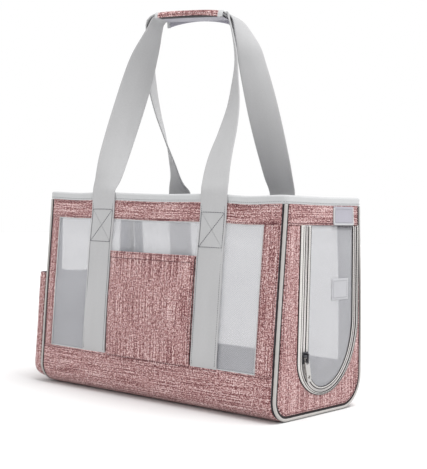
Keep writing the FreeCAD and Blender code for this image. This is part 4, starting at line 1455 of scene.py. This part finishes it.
def make_mat():
    obj = mat_form()
    remeshed(obj, 4.5 * MM)
    inflate(obj, pressure=4.0, cap=6 * MM, frames=20)
    subdivide = obj.modifiers.new("subdivide", "SUBSURF")
    subdivide.levels = subdivide.render_levels = 1
    applied(obj)
    co = quilted(coordinates(obj.data))
    obj.data.vertices.foreach_set("co", co.ravel())
    layer = obj.data.uv_layers.new(name="weave")
    loops = np.empty(len(obj.data.loops), np.int32)
    obj.data.loops.foreach_get("vertex_index", loops)
    layer.data.foreach_set("uv", (co[loops][:, :2] + 0.5 * co[loops][:, 2:]).ravel().astype(np.float32))
    obj.data.materials.clear()
    obj.data.materials.append(FLEECE)
    obj.data.polygons.foreach_set("use_smooth", np.ones(len(obj.data.polygons), bool))
    obj.data.update()
    keep(obj, "pet_mat", "mat_fabric", "mat")


# ---- seams on the bag ----
SEAM_IN = 2.2 * MM             # seam inside a panel's border
HOLE_SEAM = 2.4 * MM           # seam beside a window or a door


def stitch_wall(pile, side):
    reach = BELT_X - 4 * MM
    xs = np.linspace(-reach, reach, 160)
    for z in (UPPER_BOTTOM + SEAM_IN, RIM_Z0 - SEAM_IN):
        stitches(pile, on_wall(side, xs, z, -ON_CLOTH), (0, side, 0))
    z = LOWER_TOP - HOLE_SEAM
    outwards = np.stack([0 * xs, side * over_strap(side, xs, z), 0 * xs], -1)
    stitches(pile, on_wall(side, xs, z, -ON_CLOTH) + outwards, (0, side, 0))
    zs = np.linspace(LOWER_TOP + 1 * MM, UPPER_BOTTOM - 1 * MM, 90)
    x0, x1 = window_span(side)
    for x in (x0 - HOLE_SEAM, x1 + HOLE_SEAM, -reach, reach):
        stitches(pile, on_wall(side, x, zs, -ON_CLOTH), (0, side, 0))


def stitch_end(pile, sign, *lines):
    """Seams of an end wall along its outline, under its top band and along more lines (y, z)."""
    width = end_width(UPPER_BOTTOM, PANEL_INSET + 2 * MM)
    ys = np.linspace(-width, width, 80)
    under_band = np.stack([ys, np.full(80, UPPER_BOTTOM + SEAM_IN)], -1)
    for line in (outline(PANEL_INSET + SEAM_IN, RIM_Z0 - 2 * MM, 400), under_band, *lines):
        stitches(pile, end_point(sign, line[:, 0], line[:, 1], ON_CLOTH), (sign, 0, 0))


def make_door_seam(name, body, edges, top, height, **thread):
    """Seams along U lines of the door, height metres outside the end wall."""
    pile = Pile()
    for edge in edges:
        line = DOOR.line(edge, top - 1 * MM, 400)
        stitches(pile, end_point(1, line[:, 0], line[:, 1], height), (1, 0, 0), **thread)
    keep(pile.make(name, GREY_THREAD), body, "binding")


def make_seams():
    pile = Pile()
    for side in SIDES:
        stitch_wall(pile, side)
    stitch_end(pile, 1)
    stitch_end(pile, -1, LEFT.line(moved(LEFT_EDGE, -2.4, 2.4, -2.4), UPPER_BOTTOM, 300))
    keep(pile.make("seam_stitching", ROSE_THREAD_AND_SHADE), "bag_shell", "woven_fabric")
    make_door_seam("door_frame_stitching", "bag_shell",
                   [between(BINDING_OUT, OPENING, share) for share in (0.16, 0.84)], UPPER_BOTTOM, 1.25 * MM,
                   pitch=2.8 * MM, length=2.0 * MM, radius=0.3 * MM)
    make_door_seam("door_edge_stitching", "door_flap", [between(DOOR_EDGE, MESH_EDGE, 0.5)], DOOR_TOP,
                   1.15 * MM, pitch=2.6 * MM, length=1.8 * MM, radius=0.28 * MM)


# ---- floor, light and camera ----
FLOOR_HALF, FLOOR_Z = 6.0, -0.0004
FLOOR_GREY = 0.77
LIGHT_STRENGTH, LIGHT_SPREAD = 2.4, 38
LIGHT_FROM = (0.38, 0.08, 1.3)
WORLD_AS_LIGHT, WORLD_IN_VIEW = 0.85, 1.0
CAMERA_PLACE = (0.96490, -1.11951, 0.26206)
CAMERA_RIGHT = (0.76673, 0.64147, 0.02535)
CAMERA_UP = (-0.03590, 0.00341, 0.99935)
CAMERA_LENS, CAMERA_SENSOR = 80.52, 36


def make_floor():
    mesh = bpy.data.meshes.new("floor")
    corners = rectangle(-FLOOR_HALF, -FLOOR_HALF, FLOOR_HALF, FLOOR_HALF)[:4]
    mesh.from_pydata([(x, y, FLOOR_Z) for x, y in corners], [], [(0, 1, 2, 3)])
    floor = link("floor", mesh)
    finish = bpy.data.materials.new("floor_paper")
    finish.use_nodes = True
    surface = finish.node_tree.nodes["Principled BSDF"]
    surface.inputs["Base Color"].default_value = (FLOOR_GREY, FLOOR_GREY, FLOOR_GREY, 1)
    surface.inputs["Roughness"].default_value = 0.9
    surface.inputs["Specular IOR Level"].default_value = 0.1
    mesh.materials.append(finish)


def make_light():
    """Soft light from one direction."""
    light = bpy.data.lights.new("key", "SUN")
    light.energy = LIGHT_STRENGTH
    light.angle = math.radians(LIGHT_SPREAD)
    link("key", light).rotation_euler = Vector(LIGHT_FROM).to_track_quat("Z", "Y").to_euler()


def make_world():
    """A white surround: full white to look at, dimmer as a light."""
    world = bpy.data.worlds.new("studio")
    scene.world = world
    world.use_nodes = True
    tree = world.node_tree
    background = tree.nodes["Background"]
    background.inputs["Color"].default_value = (1, 1, 1, 1)
    path = tree.nodes.new("ShaderNodeLightPath")
    level = tree.nodes.new("ShaderNodeMapRange")
    level.inputs["To Min"].default_value = WORLD_AS_LIGHT
    level.inputs["To Max"].default_value = WORLD_IN_VIEW
    tree.links.new(path.outputs["Is Camera Ray"], level.inputs["Value"])
    tree.links.new(level.outputs["Result"], background.inputs["Strength"])


def make_camera():
    camera = bpy.data.cameras.new("camera")
    camera.lens = CAMERA_LENS
    camera.sensor_width = CAMERA_SENSOR
    camera.dof.use_dof = False
    right = Vector(CAMERA_RIGHT).normalized()
    back = right.cross(Vector(CAMERA_UP)).normalized()
    turn = Matrix((right, back.cross(right).normalized(), back)).transposed()
    scene.camera = link("camera", camera)
    scene.camera.matrix_world = Matrix.Translation(CAMERA_PLACE) @ turn.to_4x4()


def finish_node(name, material):
    """A new finish for a CAD node that shows."""
    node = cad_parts[name]
    node.data.materials.clear()
    node.data.materials.append(material)


# ---- everything ----
make_bottom()
for side in SIDES:
    make_wall(side)
make_piping()
make_rim()
make_end_top(1, "right")
make_end_panel(1, "right", DOOR, OPENING)
make_door_frame()
make_door_edge()
make_door_net()
make_patches()
make_end_top(-1, "left")
make_end_panel(-1, "left", LEFT, LEFT_EDGE)
make_left_window()
make_left_pouch()
make_front_pouch()
make_pouch_side_shade()
for side in SIDES:
    make_webbing(side)
    make_strap_stitching(side)
make_saddle(FRONT, ["grip_pad", "grip_front_flap"], start=19.5 * MM, drop=9.0 * MM, sag_left=0.6 * MM,
            sag_right=2.6 * MM, tuck=0.0)
make_saddle(BACK, ["grip_back_flap"], start=17.0 * MM, drop=8.8 * MM, sag_left=7.0 * MM, sag_right=6.0 * MM,
            tuck=0.8 * MM)
make_under_grip()
make_mat()
make_seams()
finish_node("slider_body", make_metal("slider_finish", srgb(88, 88, 92)))
finish_node("slider_pull", make_metal("pull_finish", srgb(196, 194, 192)))
finish_node("base_board", make_board())
make_floor()
make_world()
make_camera()
make_light()
